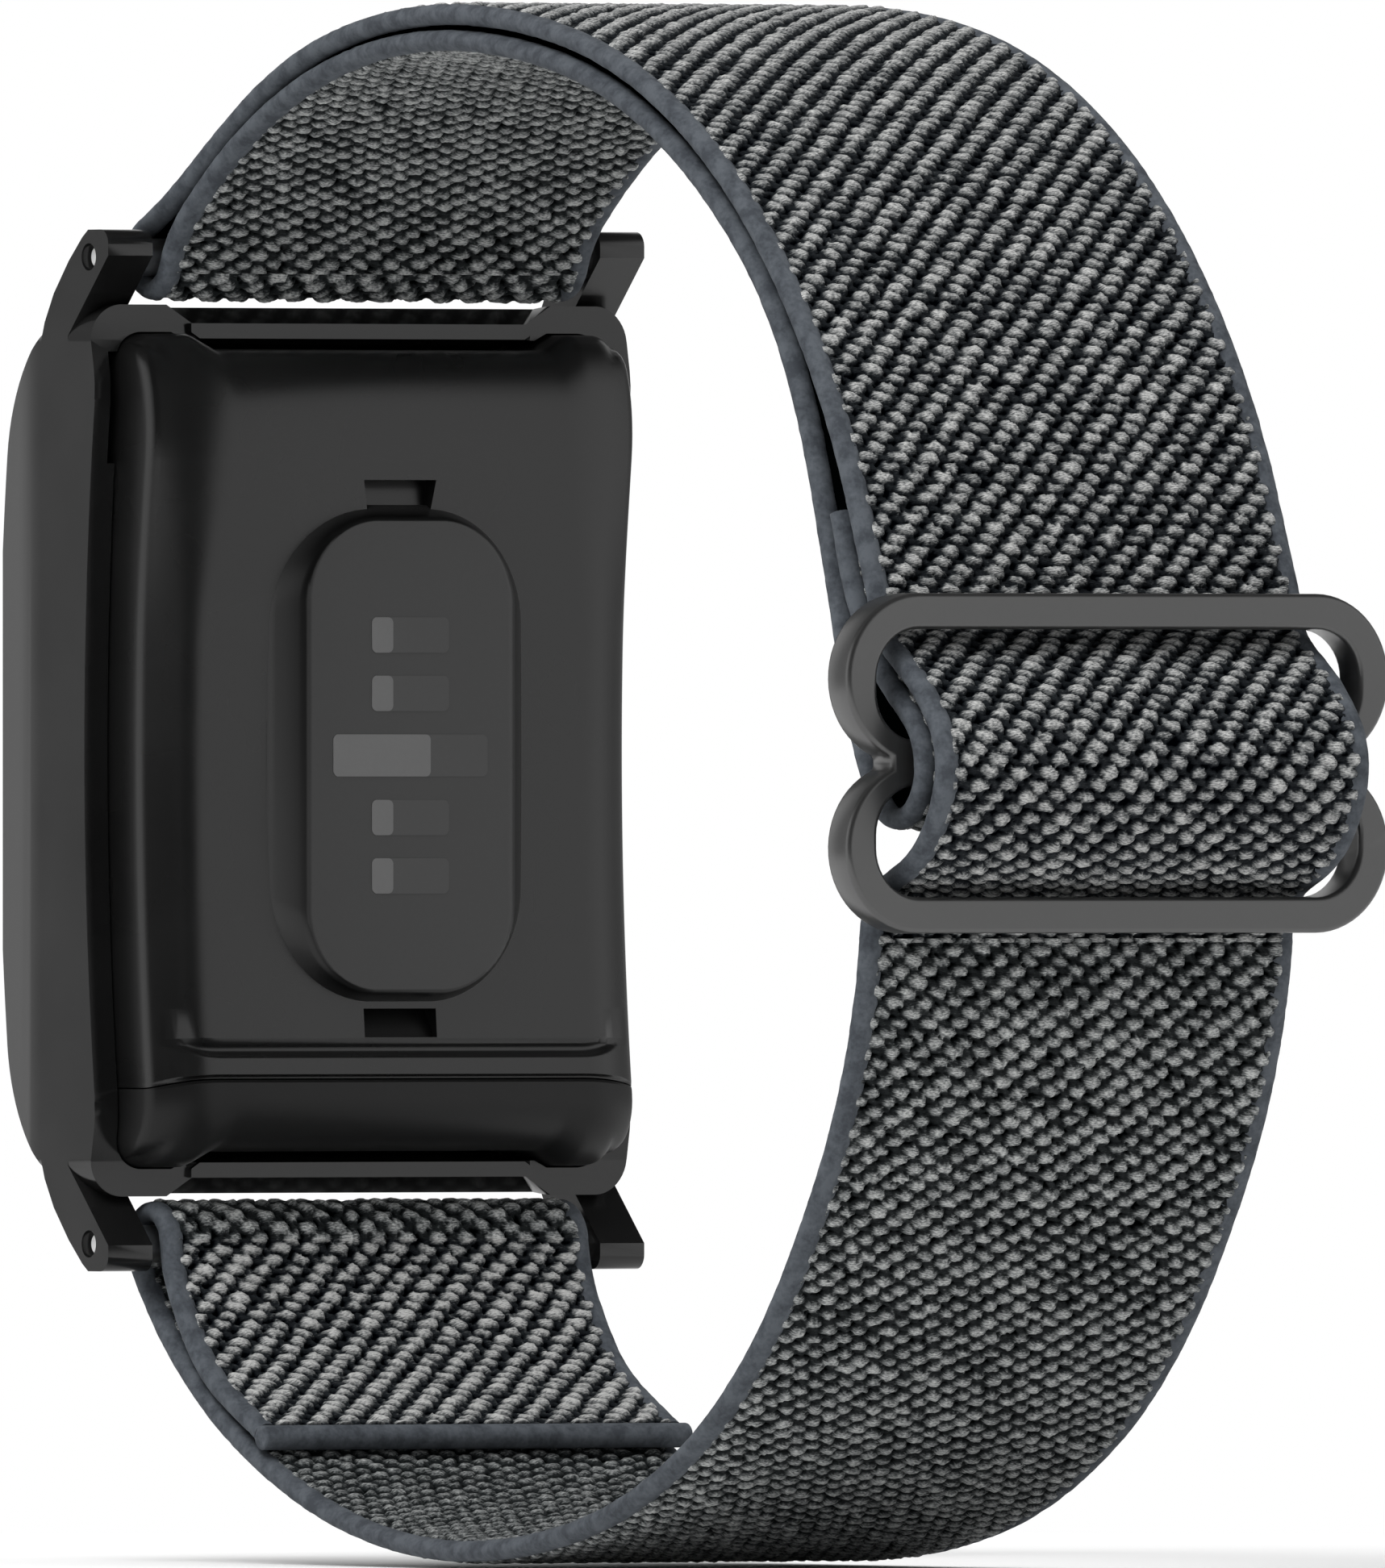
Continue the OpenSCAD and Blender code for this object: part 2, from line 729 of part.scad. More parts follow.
module sensor_dome()
    color("#2f3031")
    translate([0, 0, case_z + dome_z])
    difference() {
        union() {
            along_y(module_y - 1.85, module_y) pill(dome_w - 1.28, dome_l - 1.28, dome_corner_r - 0.34);
            along_y(module_y - dome_seat, module_y) pill(dome_w, dome_l, dome_corner_r);
            hull() {
                along_y(module_y - 0.1, module_y + 0.05) pill(dome_w, dome_l, dome_corner_r);
                along_y(module_y + dome_h - 0.4, module_y + dome_h)
                    pill(dome_w - 3, dome_l - 1.5, dome_corner_r - 1.7);
            }
        }
        for (w = window_list)
            translate([-w[1] / 2, window_floor_y, w[0] - w[2] / 2])
                cube([w[1], window_t + 1, w[2]]);
    }

// A window's light strip lies towards +X, and its detector fills the rest
module window_parts(lit)
    for (w = window_list) {
        width = lit ? w[3] - window_gap : w[1] - w[3] - 2 * window_gap;
        x = lit ? w[1] / 2 - w[3] : window_gap - w[1] / 2;
        translate([x, window_floor_y + 0.02, w[0] - w[2] / 2 + window_gap])
            cube([width, window_t - 0.05, w[2] - 2 * window_gap]);
    }

module led_windows() color("#5c5c5c") translate([0, 0, case_z + dome_z]) window_parts(true);

module detector_windows() color("#484848") translate([0, 0, case_z + dome_z]) window_parts(false);

module sensor_board()
    color("#1f5134")
    translate([0, 0, case_z + dome_z])
    along_y(module_y - 1.9 - seat_gap - board_t, module_y - 1.9 - seat_gap)
        pill(dome_w - 1.6, dome_l - 1.6, 2.4);

module main_board()
    color("#1f5134")
    translate([0, 0, case_z])
    along_y(board_y - board_t, board_y)
    difference() {
        square([pocket_w - 4.2, pocket_l - 5], center = true);
        for (x = [-1, 1], z = [-1, 1])
            translate([x * (pocket_w / 2 - 2.1), z * (pocket_l / 2 - 2.5)]) circle(1.2);
    }

// Battery and motor lie on the front cover's floor, one beyond the other along Z
cell_l = cell_share * case_l;
cell_end = shoulder_z + 1.95;
under_board_y = board_y - board_t - seat_gap;
motor_d = 0.195 * case_l;
motor_z = cell_l - cell_end + 0.3 + motor_d / 2;
motor_floor_y = cover_inner_y(motor_z + motor_d / 2) + seat_gap;

module battery_cell()
    color("#a9adb1")
    translate([0, 0, case_z + cell_l / 2 - cell_end])
    along_y(cover_inner_y(cell_end) + seat_gap, under_board_y)
        pill(pocket_w - 4, cell_l, 1.5);

module vibration_motor()
    color("#c2c5c8")
    translate([0, motor_floor_y, case_z + motor_z]) rotate([-90, 0, 0])
        cylinder(d = motor_d, h = under_board_y - motor_floor_y - 0.25);

// Band

module upper_loop_band() color("#4a4e54")
    band_loop(upper_bar, outer_leave + 90, inner_leave + 270);
module lower_loop_band() color("#4a4e54")
    band_loop(lower_bar, tail_leave + 90, lower_leave + 270);
module outer_layer() color("#565a5e") band_run(outer_route);
module inner_layer() color("#565a5e") band_run(inner_route);
module lower_layer() color("#565a5e") band_run(lower_route);
module lower_tail() color("#565a5e") band_run(tail_route);

// Turned end of the folded tail
module tail_binding() {
    end = tail_route[2];
    seat = spot(end) + (edge_d / 2 + 0.02) * heading(end[2]);
    color("#4a4e54") along_x(seat, edge_d / 2, -band_w / 2, band_w / 2, 24);
}

module slider_wrap() color("#565a5e") band_run(wrap_route);
module slider_loop() color("#565a5e") band_run(loop_route);

// Slider

lobe_r = slider_h / 4;

module slider_slot(side) {
    low = centre_bar_h / 2;
    high = slider_h / 2 - rail_w;
    r = lobe_r - rail_w;
    half = slider_w / 2 - rail_w;
    scale([1, side]) {
        translate([0, (low + high) / 2]) square([2 * (half - r), high - low], center = true);
        translate([0, (low + r + high - r) / 2]) square([2 * half, high - low - 2 * r], center = true);
        for (x = [-1, 1], z = [low + r, high - r]) translate([x * (half - r), z]) circle(r);
    }
}

module slider_frame()
    color("#3a3a3b")
    translate([0, 0, slider_z])
    along_y(slider_y, slider_y + slider_t)
    difference() {
        union() {
            for (z = [-1, 1]) translate([0, z * lobe_r]) {
                square([slider_w - 2 * lobe_r, 2 * lobe_r], center = true);
                for (x = [-1, 1]) translate([x * (slider_w / 2 - lobe_r), 0]) circle(lobe_r);
            }
            square([slider_w - 2 * notch_depth, 2 * lobe_r], center = true);
        }
        slider_slot(1);
        slider_slot(-1);
    }

case_shell();
bar_tube(upper_bar);  // upper_bar_tube
bar_spring(upper_bar);  // upper_bar_spring
bar_tip(upper_bar, 1);  // upper_tip_near
bar_tip(upper_bar, -1);  // upper_tip_far
bar_tube(lower_bar);  // lower_bar_tube
bar_spring(lower_bar);  // lower_bar_spring
bar_tip(lower_bar, 1);  // lower_tip_near
bar_tip(lower_bar, -1);  // lower_tip_far
module_front_cover();
module_back_cover();
module_end_cap();
cover_gasket();
sensor_dome();
led_windows();
detector_windows();
sensor_board();
main_board();
battery_cell();
vibration_motor();
upper_loop_band();
lower_loop_band();
outer_layer();
inner_layer();
lower_layer();
lower_tail();
tail_binding();
slider_frame();
slider_wrap();
slider_loop();
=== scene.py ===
"""Elastic woven watch strap, with its case and slider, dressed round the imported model."""

import math

import bmesh
import bpy
import numpy as np
from mathutils import Matrix, Vector


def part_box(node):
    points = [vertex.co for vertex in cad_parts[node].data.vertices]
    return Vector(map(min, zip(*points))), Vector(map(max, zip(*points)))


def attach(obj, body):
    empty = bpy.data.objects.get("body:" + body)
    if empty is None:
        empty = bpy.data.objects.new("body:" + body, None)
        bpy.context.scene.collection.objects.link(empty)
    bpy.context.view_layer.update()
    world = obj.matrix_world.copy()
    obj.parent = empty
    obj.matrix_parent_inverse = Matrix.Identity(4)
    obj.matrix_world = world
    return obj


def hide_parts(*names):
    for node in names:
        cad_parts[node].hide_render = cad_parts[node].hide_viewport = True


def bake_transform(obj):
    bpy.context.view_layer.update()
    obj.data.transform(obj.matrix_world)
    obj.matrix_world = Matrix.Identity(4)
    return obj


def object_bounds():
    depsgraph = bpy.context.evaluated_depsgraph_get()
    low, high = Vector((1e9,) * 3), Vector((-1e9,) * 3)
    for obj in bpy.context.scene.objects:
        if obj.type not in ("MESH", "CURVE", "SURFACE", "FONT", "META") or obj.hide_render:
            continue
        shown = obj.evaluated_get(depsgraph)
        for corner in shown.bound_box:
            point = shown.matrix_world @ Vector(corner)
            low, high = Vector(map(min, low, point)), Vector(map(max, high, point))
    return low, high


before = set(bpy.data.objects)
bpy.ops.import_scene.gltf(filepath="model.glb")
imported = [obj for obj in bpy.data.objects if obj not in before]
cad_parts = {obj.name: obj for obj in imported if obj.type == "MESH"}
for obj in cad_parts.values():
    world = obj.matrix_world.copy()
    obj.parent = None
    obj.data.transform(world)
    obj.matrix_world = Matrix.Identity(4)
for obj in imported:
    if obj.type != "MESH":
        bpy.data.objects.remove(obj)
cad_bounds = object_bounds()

MM = 0.001
SCENE = bpy.context.scene


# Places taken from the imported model, and the band's own sizes, in millimetres


def node_box(node):
    """Lowest and highest corner of a node, in millimetres."""
    low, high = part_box(node)
    return np.array(low) / MM, np.array(high) / MM


def middle(node):
    """Centre of a node in the side view, as [y, z] in millimetres."""
    low, high = node_box(node)
    return (low[1:] + high[1:]) / 2


UPPER_BAR = middle("upper_bar_tube")
LOWER_BAR = middle("lower_bar_tube")
SLIDER_Y = node_box("slider_frame")[0][1]
SLIDER_Z = middle("slider_frame")[1]
EDGE_D = 1.0
LAYER_PITCH = EDGE_D + 0.03
BAND_HALF = node_box("outer_layer")[1][0]
EDGE_X = BAND_HALF - EDGE_D / 2
CROWN_Z = node_box("outer_layer")[1][2] - EDGE_D / 2
KEEL_Z = -node_box("lower_layer")[0][2] - EDGE_D / 2
LOOP_R = node_box("upper_bar_tube")[1][2] - UPPER_BAR[1] + 0.05 + EDGE_D / 2
TAIL_REACH = 9.0


# The band's run in the side view: tangent arcs between stations [y, z, heading]


def heading(degrees):
    angle = np.radians(degrees)
    return np.stack([np.cos(angle), np.sin(angle)], axis=-1)


def left_of(v):
    return np.stack([-v[..., 1], v[..., 0]], axis=-1)


def shifted(station, distance):
    """A station moved to the left of its heading."""
    place = np.array(station[:2]) + distance * left_of(heading(station[2]))
    return [place[0], place[1], station[2]]


class Run:
    """A stretch of the band: arcs that start at places, turn by sweeps and follow each other."""

    def __init__(self, places, headings, ends):
        self.places = np.array(places, float)
        self.headings = np.array(headings, float)
        chords = np.array(ends, float) - self.places
        along = heading(self.headings)
        forward = (along * chords).sum(1)
        aside = (left_of(along) * chords).sum(1)
        self.sweeps = np.degrees(2 * np.arctan2(aside, forward))
        self.straight = np.abs(self.sweeps) < 0.05
        self.radii = np.where(self.straight, 1e9, (chords**2).sum(1) / (2 * np.where(self.straight, 1, aside)))
        arcs = np.abs(self.radii * np.radians(self.sweeps))
        self.lengths = np.where(self.straight, np.linalg.norm(chords, axis=1), arcs)
        self.stops = np.cumsum(self.lengths)
        self.length = self.stops[-1]

    def at(self, s):
        """Places and headings at distances s along the run."""
        k = np.minimum(np.searchsorted(self.stops, s), len(self.stops) - 1)
        share = (s - self.stops[k] + self.lengths[k]) / self.lengths[k]
        turned = self.headings[k] + self.sweeps[k] * share
        bent = self.radii[k][:, None] * (left_of(heading(self.headings[k])) - left_of(heading(turned)))
        plain = heading(self.headings[k]) * (self.lengths[k] * share)[:, None]
        return self.places[k] + np.where(self.straight[k][:, None], plain, bent), turned

    def distance_at_y(self, y):
        """Distance along the run at which it first reaches y."""
        s = np.linspace(0, self.length, 2000)
        ys = self.at(s)[0][:, 0]
        return s[np.argmax(ys >= y)]


def run_through(stations):
    """The run of two tangent arcs between each pair of stations."""
    places, headings, ends = [], [], []
    for a, b in zip(stations, stations[1:]):
        start, end = np.array(a[:2], float), np.array(b[:2], float)
        chord = end - start
        ta, tb = heading(a[2]), heading(b[2])
        t = ta + tb
        k = 2 * (1 - ta @ tb)
        if k < 0.0001:
            reach = (chord @ chord) / (4 * (chord @ ta))
        else:
            reach = (math.sqrt((chord @ t) ** 2 + k * (chord @ chord)) - chord @ t) / k
        meeting = (start + reach * ta + end - reach * tb) / 2
        first = meeting - start
        turned = a[2] + math.degrees(2 * math.atan2(left_of(ta) @ first, ta @ first))
        places += [start, meeting]
        headings += [a[2], turned]
        ends += [meeting, end]
    return Run(places, headings, ends)


def run_round(centre, start, stop):
    """The run round a spring bar, anticlockwise from one polar angle to another."""
    steps = np.linspace(start, stop, 4)
    rim = np.array(centre) + LOOP_R * heading(steps)
    return Run(rim[:-1], steps[:-1] + 90, rim[1:])


OUTER_LEAVE, INNER_LEAVE, LOWER_LEAVE, TAIL_LEAVE = 25, 68, -57, -84

outer_stations = [
    shifted([*UPPER_BAR, OUTER_LEAVE], LOOP_R),
    [-18.7, CROWN_Z - 3.95, 31.5],
    [-3.2, CROWN_Z, 0],
    [15, CROWN_Z - 4.55, -31],
    [25.4, SLIDER_Z + 14.95, -58],
    [SLIDER_Y - 0.93, SLIDER_Z + 6.41, -68],
]
inner_stations = [
    shifted([*UPPER_BAR, INNER_LEAVE], -LOOP_R),
    [-20.6, CROWN_Z - 6.2, 35.5],
    shifted([-3.6, CROWN_Z, 0], -LAYER_PITCH),
    shifted([14.9, CROWN_Z - 4.5, -31], -LAYER_PITCH - 0.15),
    [23.4, SLIDER_Z + 15.1, -64],
    [SLIDER_Y - 3.8, SLIDER_Z + 6.2, -74],
]
lower_stations = [
    shifted([*LOWER_BAR, LOWER_LEAVE], -LOOP_R),
    [-19, 4.45 - KEEL_Z, -29.5],
    [-1.9, -KEEL_Z, 0],
    [15.3, 4.15 - KEEL_Z, 30],
    [22.8, 10.95 - KEEL_Z, 54],
    [27.6, SLIDER_Z - 11.8, 71.5],
    [SLIDER_Y - 1.56, SLIDER_Z - 6.9, 85],
]
wrap_stations = [
    outer_stations[5],
    [SLIDER_Y - 0.22, SLIDER_Z + 4.75, -39],
    [SLIDER_Y + 1.5, SLIDER_Z + 3.53, -35.5],
    [SLIDER_Y + 3.95, SLIDER_Z - 0.9, -106],
    [SLIDER_Y + 2.27, SLIDER_Z - 3.52, -140],
    [SLIDER_Y - 0.12, SLIDER_Z - 4.75, -156.5],
    [SLIDER_Y - 1.56, SLIDER_Z - 6.8, -96],
]
loop_stations = [
    inner_stations[5],
    [SLIDER_Y - 1.55, SLIDER_Z - 0.35, -62],
    [SLIDER_Y + 0.51, SLIDER_Z - 2.2, 0],
    [SLIDER_Y + 2.5, SLIDER_Z - 0.21, 90],
    [SLIDER_Y - 0.44, SLIDER_Z + 3.46, 138.5],
    [SLIDER_Y - 2.65, SLIDER_Z + 6.71, 116],
    [SLIDER_Y - 3.75, SLIDER_Z + 9.9, 109],
]

OUTER = run_through(outer_stations)
INNER = run_through(inner_stations)
LOWER = run_through(lower_stations)
WRAP = run_through(wrap_stations)
SLIDER_LOOP = run_through(loop_stations)
UPPER_LOOP = run_round(UPPER_BAR, OUTER_LEAVE + 90, INNER_LEAVE + 270)
LOWER_LOOP = run_round(LOWER_BAR, TAIL_LEAVE + 90, LOWER_LEAVE + 270)


def tail_run():
    """The folded tail: from the lower bar to its bound end on the lower layer."""
    s = LOWER.distance_at_y(LOWER_BAR[0] + TAIL_REACH - EDGE_D)
    place, turned = LOWER.at(np.array([s]))
    end = shifted([*place[0], turned[0]], LAYER_PITCH + 0.05)
    return run_through([
        shifted([*LOWER_BAR, TAIL_LEAVE], LOOP_R),
        [-22.2, 8.1 - KEEL_Z, -52],
        end,
    ])


TAIL = tail_run()


# Weave: rows of yarn nubs that step aside from row to row


def chance(i, j, seed):
    """A repeatable number from 0 to 1 for each nub."""
    v = np.sin(i * 12.9898 + j * 78.233 + seed * 37.719) * 43758.5453
    return v - np.floor(v)


def mottle(u, v, seed):
    """Smooth value noise from 0 to 1 on a unit lattice."""
    iu, iv = np.floor(u), np.floor(v)
    fu, fv = u - iu, v - iv
    fu, fv = fu * fu * (3 - 2 * fu), fv * fv * (3 - 2 * fv)
    low = chance(iu, iv, seed) * (1 - fu) + chance(iu + 1, iv, seed) * fu
    high = chance(iu, iv + 1, seed) * (1 - fu) + chance(iu + 1, iv + 1, seed) * fu
    return low * (1 - fv) + high * fv


NUB_SIZE, NUB_SPREAD, NUB_ROUNDNESS = 0.93, 0.14, 1.35
BRIDGE_ASIDE, BRIDGE_COS, BRIDGE_SIN = 0.48, 0.94, 0.34
BRIDGE_LONG, BRIDGE_SHORT, BRIDGE_HEIGHT = 0.42, 0.17, 0.46


class Weave:
    """Rows of oblong yarn nubs, with low strands that bridge the gaps between them.

    cell and row are the nubs' spacing across and along the band, shift is a row's step aside,
    long, short and tilt are a nub's half sizes and turn, depth is the relief in millimetres,
    loose and ragged shake the nubs' places and outlines, and the last argument paints the whole weave lighter or
    darker, as painted light or shade.
    """

    def __init__(self, cell, row, shift, long, short, tilt, depth, loose, ragged, painted_light_shift=0.0):
        self.cell, self.row, self.shift = cell, row, shift
        self.long, self.short, self.tilt = long, short, math.radians(tilt)
        self.depth, self.loose, self.ragged, self.painted_light_shift = depth, loose, ragged, painted_light_shift

    def relief(self, x, s):
        """Height and lightness, from 0 to 1, of the nubs at places across and along the band: a random lightness
        for each nub plus painted light, bright at one end of each nub and painted shade towards the other.
        """
        height, tone_and_shade = np.zeros_like(x), np.full_like(x, 0.5)
        x = x + self.ragged * (mottle(x * 3.4, s * 3.4, 7) + 0.4 * mottle(x * 7.7, s * 7.7, 11) - 0.7)
        s = s + self.ragged * (mottle(x * 4.1 + 50, s * 4.1, 8) + 0.4 * mottle(x * 8.3, s * 8.3, 12) - 0.7)
        c, n = math.cos(self.tilt), math.sin(self.tilt)
        first_row = np.floor(s / self.row)
        for dj in (-1, 0, 1, 2):
            j = first_row + dj
            first = np.floor((x - j * self.shift) / self.cell)
            for di in (0, 1):
                i = first + di
                u = x - i * self.cell - j * self.shift + (chance(i, j, 1) - 0.5) * self.loose
                v = s - j * self.row + (chance(i, j, 2) - 0.5) * self.loose
                along, across = (u * c + v * n) / self.long, (v * c - u * n) / self.short
                size = NUB_SIZE + NUB_SPREAD * chance(i, j, 3)
                nub = size * np.sqrt(np.clip(1 - ((along**2 + across**2) / size**2) ** NUB_ROUNDNESS, 0, 1))
                # Random lightness for each nub, plus painted light: bright at the nub's one end, painted shade
                # towards the other.
                here = 0.24 + 0.14 * chance(i, j, 4) + 0.56 * np.clip(0.5 + 0.5 * along, 0, 1)
                tone_and_shade = np.where(nub > height, here, tone_and_shade)
                height = np.maximum(height, nub)
                if di == 0:
                    height = np.maximum(height, self.bridge(u, v, i, j))
        return height, tone_and_shade + self.painted_light_shift

    def bridge(self, u, v, i, j):
        """Height of the strand beside a nub, at places u and v from the nub's middle."""
        u = u - BRIDGE_ASIDE * self.cell
        along = (BRIDGE_COS * u - BRIDGE_SIN * v) / BRIDGE_LONG
        across = (BRIDGE_COS * v + BRIDGE_SIN * u) / BRIDGE_SHORT
        high = BRIDGE_HEIGHT + 0.14 * chance(i, j, 5)
        return high * np.sqrt(np.clip(1 - along**2 - across**2, 0, 1))


TWILL_LAY = dict(
    cell=1.4, row=0.44, shift=0.46, long=0.5, short=0.285, tilt=-8, depth=0.36, loose=0.08, ragged=0.2,
)
PEBBLE_LAY = dict(
    cell=1.38, row=0.41, shift=0.5, long=0.49, short=0.285, tilt=-8, depth=0.34, loose=0.08, ragged=0.2,
)
# The tail's twill is painted lighter, as painted light, and the keel's pebble weave painted darker, as painted
# shade: lit and shaded copies of the same two weaves.
TWILL, PAINTED_LIT_TAIL_TWILL = Weave(**TWILL_LAY), Weave(painted_light_shift=0.25, **TWILL_LAY)
PEBBLE, PAINTED_SHADED_KEEL_PEBBLE = Weave(**PEBBLE_LAY), Weave(painted_light_shift=-0.3, **PEBBLE_LAY)


# Meshes


def finished(bm, name, smooth=True):
    """Turns a bmesh into an object of that name."""
    mesh = bpy.data.meshes.new(name)
    bmesh.ops.recalc_face_normals(bm, faces=bm.faces)
    bm.to_mesh(mesh)
    bm.free()
    mesh.polygons.foreach_set("use_smooth", [smooth] * len(mesh.polygons))
    piece = bpy.data.objects.new(name, mesh)
    SCENE.collection.objects.link(piece)
    return piece


def boundary(bm):
    """The open edges."""
    return [edge for edge in bm.edges if edge.is_boundary]


def corners_in(geometry):
    return [item for item in geometry if isinstance(item, bmesh.types.BMVert)]


def flat_strip(columns, rows, both_sides):
    """A closed flat strip from -1 to 1 each way: a fine face up, and a fine or plain one below."""
    bm = bmesh.new()
    bmesh.ops.create_grid(bm, x_segments=columns, y_segments=rows, size=1)
    for edge in bm.edges:
        edge.smooth = not (edge.is_boundary and abs(edge.verts[0].co.y + edge.verts[1].co.y) > 1.999)
    bmesh.ops.translate(bm, verts=bm.verts, vec=(0, 0, 1))
    if both_sides:
        below = bmesh.ops.duplicate(bm, geom=bm.verts[:] + bm.edges[:] + bm.faces[:])["geom"]
        bmesh.ops.translate(bm, verts=corners_in(below), vec=(0, 0, -2))
        bmesh.ops.reverse_faces(bm, faces=[item for item in below if isinstance(item, bmesh.types.BMFace)])
        bmesh.ops.bridge_loops(bm, edges=boundary(bm))
        return bm
    sides = [e for e in boundary(bm) if abs(e.verts[0].co.x) > 0.999 and abs(e.verts[1].co.x) > 0.999]
    walls = bmesh.ops.extrude_edge_only(bm, edges=sides)["geom"]
    bmesh.ops.translate(bm, verts=corners_in(walls), vec=(0, 0, -2))
    hems = [e for e in boundary(bm) if e.verts[0].co.z < 0 and e.verts[1].co.z < 0]
    bmesh.ops.bridge_loops(bm, edges=hems)
    bmesh.ops.holes_fill(bm, edges=boundary(bm), sides=0)
    return bm


def lay(piece, run, flat):
    """Moves a flat piece's vertices, given as across, along and out, onto a run."""
    place, turned = run.at(flat[:, 1])
    side_view = place + flat[:, 2:3] * left_of(heading(turned))
    places = np.column_stack([flat[:, 0], side_view]) * MM
    piece.data.vertices.foreach_set("co", places.astype(np.float32).ravel())
    piece.data.update()


def vertices_of(piece):
    places = np.zeros(len(piece.data.vertices) * 3, np.float32)
    piece.data.vertices.foreach_get("co", places)
    return places.reshape(-1, 3).astype(float)


def note(piece, name, values):
    """Stores a number for each vertex, which the materials read."""
    attribute = piece.data.attributes.new(name, "FLOAT", "POINT")
    attribute.data.foreach_set("value", values.astype(np.float32))


def note_uv(piece, across, along):
    """Stores the place on the cloth, in millimetres, as the piece's UV map."""
    corners = np.zeros(len(piece.data.loops), np.int32)
    piece.data.loops.foreach_get("vertex_index", corners)
    layer = piece.data.uv_layers.new(name="cloth")
    layer.data.foreach_set("uv", np.column_stack([across, along])[corners].astype(np.float32).ravel())


CLOTH_TOP, CLOTH_HEM = 0.52, 0.26
CLOTH_W = BAND_HALF - 0.42
FADE_W = 0.3
ROLL_TALL = 0.42
ROLL_PITCH, FELT_RELIEF = 0.18, 0.035
WELD = 0.002 * MM


def cloth(name, run, start, stop, up, down, sense, pitch):
    """A stretch of woven cloth. up and down are the weaves of the faces left and right of the run, or None."""
    columns, rows = round(2 * CLOTH_W / pitch), round((stop - start) / pitch)
    piece = finished(flat_strip(columns, rows, up is not None and down is not None), name)
    flat = vertices_of(piece)
    side = np.sign(flat[:, 2])
    if up is None:
        side = -side
    across = flat[:, 0] * CLOTH_W
    along = start + (flat[:, 1] + 1) / 2 * (stop - start)
    fade = np.clip((CLOTH_W - np.abs(across)) / FADE_W, 0, 1) ** 0.8
    height, tone_and_shade, out = np.zeros(len(flat)), np.full(len(flat), 0.5), side * (CLOTH_TOP - 0.2)
    for face, weave in ((1, up), (-1, down)):
        if weave is None:
            continue
        here = side == face
        nub, shade = weave.relief(across[here], sense * along[here])
        height[here], tone_and_shade[here] = nub, shade
        hair = mottle(across[here] * 8, along[here] * 8, 9) - 0.5
        top = CLOTH_TOP - (1.05 - nub) * weave.depth + 0.03 * hair * nub
        out[here] = face * (CLOTH_HEM + (top - CLOTH_HEM) * fade[here])
    lay(piece, run, np.column_stack([across, along, out]))
    note(piece, "height", height)
    # The nubs' random lightness with their painted light and shade, for the cloth's colour.
    note(piece, "tone_and_shade", tone_and_shade)
    note_uv(piece, across, along)
    return piece


def edge_rolls(name, run, start, stop):
    """The two rolled edges of a stretch, felted and slightly uneven."""
    around, rows = 18, max(4, round((stop - start) / ROLL_PITCH))
    bm = bmesh.new()
    for side in (-1, 1):
        grid = bmesh.ops.create_grid(bm, x_segments=around, y_segments=rows, size=1)["verts"]
        bmesh.ops.translate(bm, verts=grid, vec=(0, 0, side))
    piece = finished(bm, name)
    flat = vertices_of(piece)
    side, turn = flat[:, 2], flat[:, 0] * math.pi
    along = start + (flat[:, 1] + 1) / 2 * (stop - start)
    felt = mottle(turn * 2.2 + 40 * side, along * 2.6, 5) + 0.5 * mottle(turn * 5 + 9, along * 6.5, 6)
    radius = EDGE_D / 2 + FELT_RELIEF * (np.where(np.abs(flat[:, 0]) > 0.999, 0.75, felt) - 0.75)
    across = side * EDGE_X + radius * np.cos(turn)
    lay(piece, run, np.column_stack([across, along, radius * np.sin(turn) * ROLL_TALL * 2 / EDGE_D]))
    note(piece, "height", felt / 1.5)
    note_uv(piece, turn * EDGE_D / 2, along)
    bm = bmesh.new()
    bm.from_mesh(piece.data)
    bmesh.ops.remove_doubles(bm, verts=bm.verts, dist=WELD)
    ends = boundary(bm)
    for edge in ends:
        edge.smooth = False
    bmesh.ops.holes_fill(bm, edges=ends, sides=0)
    bmesh.ops.recalc_face_normals(bm, faces=bm.faces)
    bm.to_mesh(piece.data)
    bm.free()
    return piece


def dressed(node, offset, trim=None):
    """A copy of a node with its hard edges rounded over, after an optional trim of its vertices."""
    bm = bmesh.new()
    bm.from_mesh(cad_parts[node].data)
    bmesh.ops.remove_doubles(bm, verts=bm.verts, dist=WELD)
    bmesh.ops.dissolve_limit(bm, angle_limit=math.radians(0.4), verts=bm.verts, edges=bm.edges, delimit=set())
    if trim:
        trim(bm)
    hard = [e for e in bm.edges if e.is_manifold and e.calc_face_angle(0) > math.radians(28)]
    bmesh.ops.bevel(
        bm, geom=hard, offset=offset * MM, offset_type="OFFSET", segments=3,
        profile=0.5, affect="EDGES", clamp_overlap=True, material=-1,
    )
    piece = finished(bm, node + "_rounded")
    piece.data.set_sharp_from_angle(angle=math.radians(35))
    flats = piece.modifiers.new("flat faces", "WEIGHTED_NORMAL")
    flats.keep_sharp = True
    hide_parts(node)
    return piece


# Materials


def new_material(name):
    material = bpy.data.materials.new(name)
    material.use_nodes = True
    return material, material.node_tree.nodes, material.node_tree.links, material.node_tree.nodes["Principled BSDF"]


def ramp(nodes, stops):
    """A colour ramp through (place, colour) stops."""
    node = nodes.new("ShaderNodeValToRGB")
    elements = node.color_ramp.elements
    for place, _ in stops[2:]:
        elements.new(place)
    for element, (place, colour) in zip(elements, stops):
        element.position = place
        element.color = (*colour, 1)
    return node


def math_node(nodes, links, kind, a, b):
    """The result of a calculation with two sockets or numbers."""
    node = nodes.new("ShaderNodeMath")
    node.operation = kind
    for socket, value in zip(node.inputs, (a, b)):
        if isinstance(value, (int, float)):
            socket.default_value = value
        else:
            links.new(value, socket)
    return node.outputs[0]


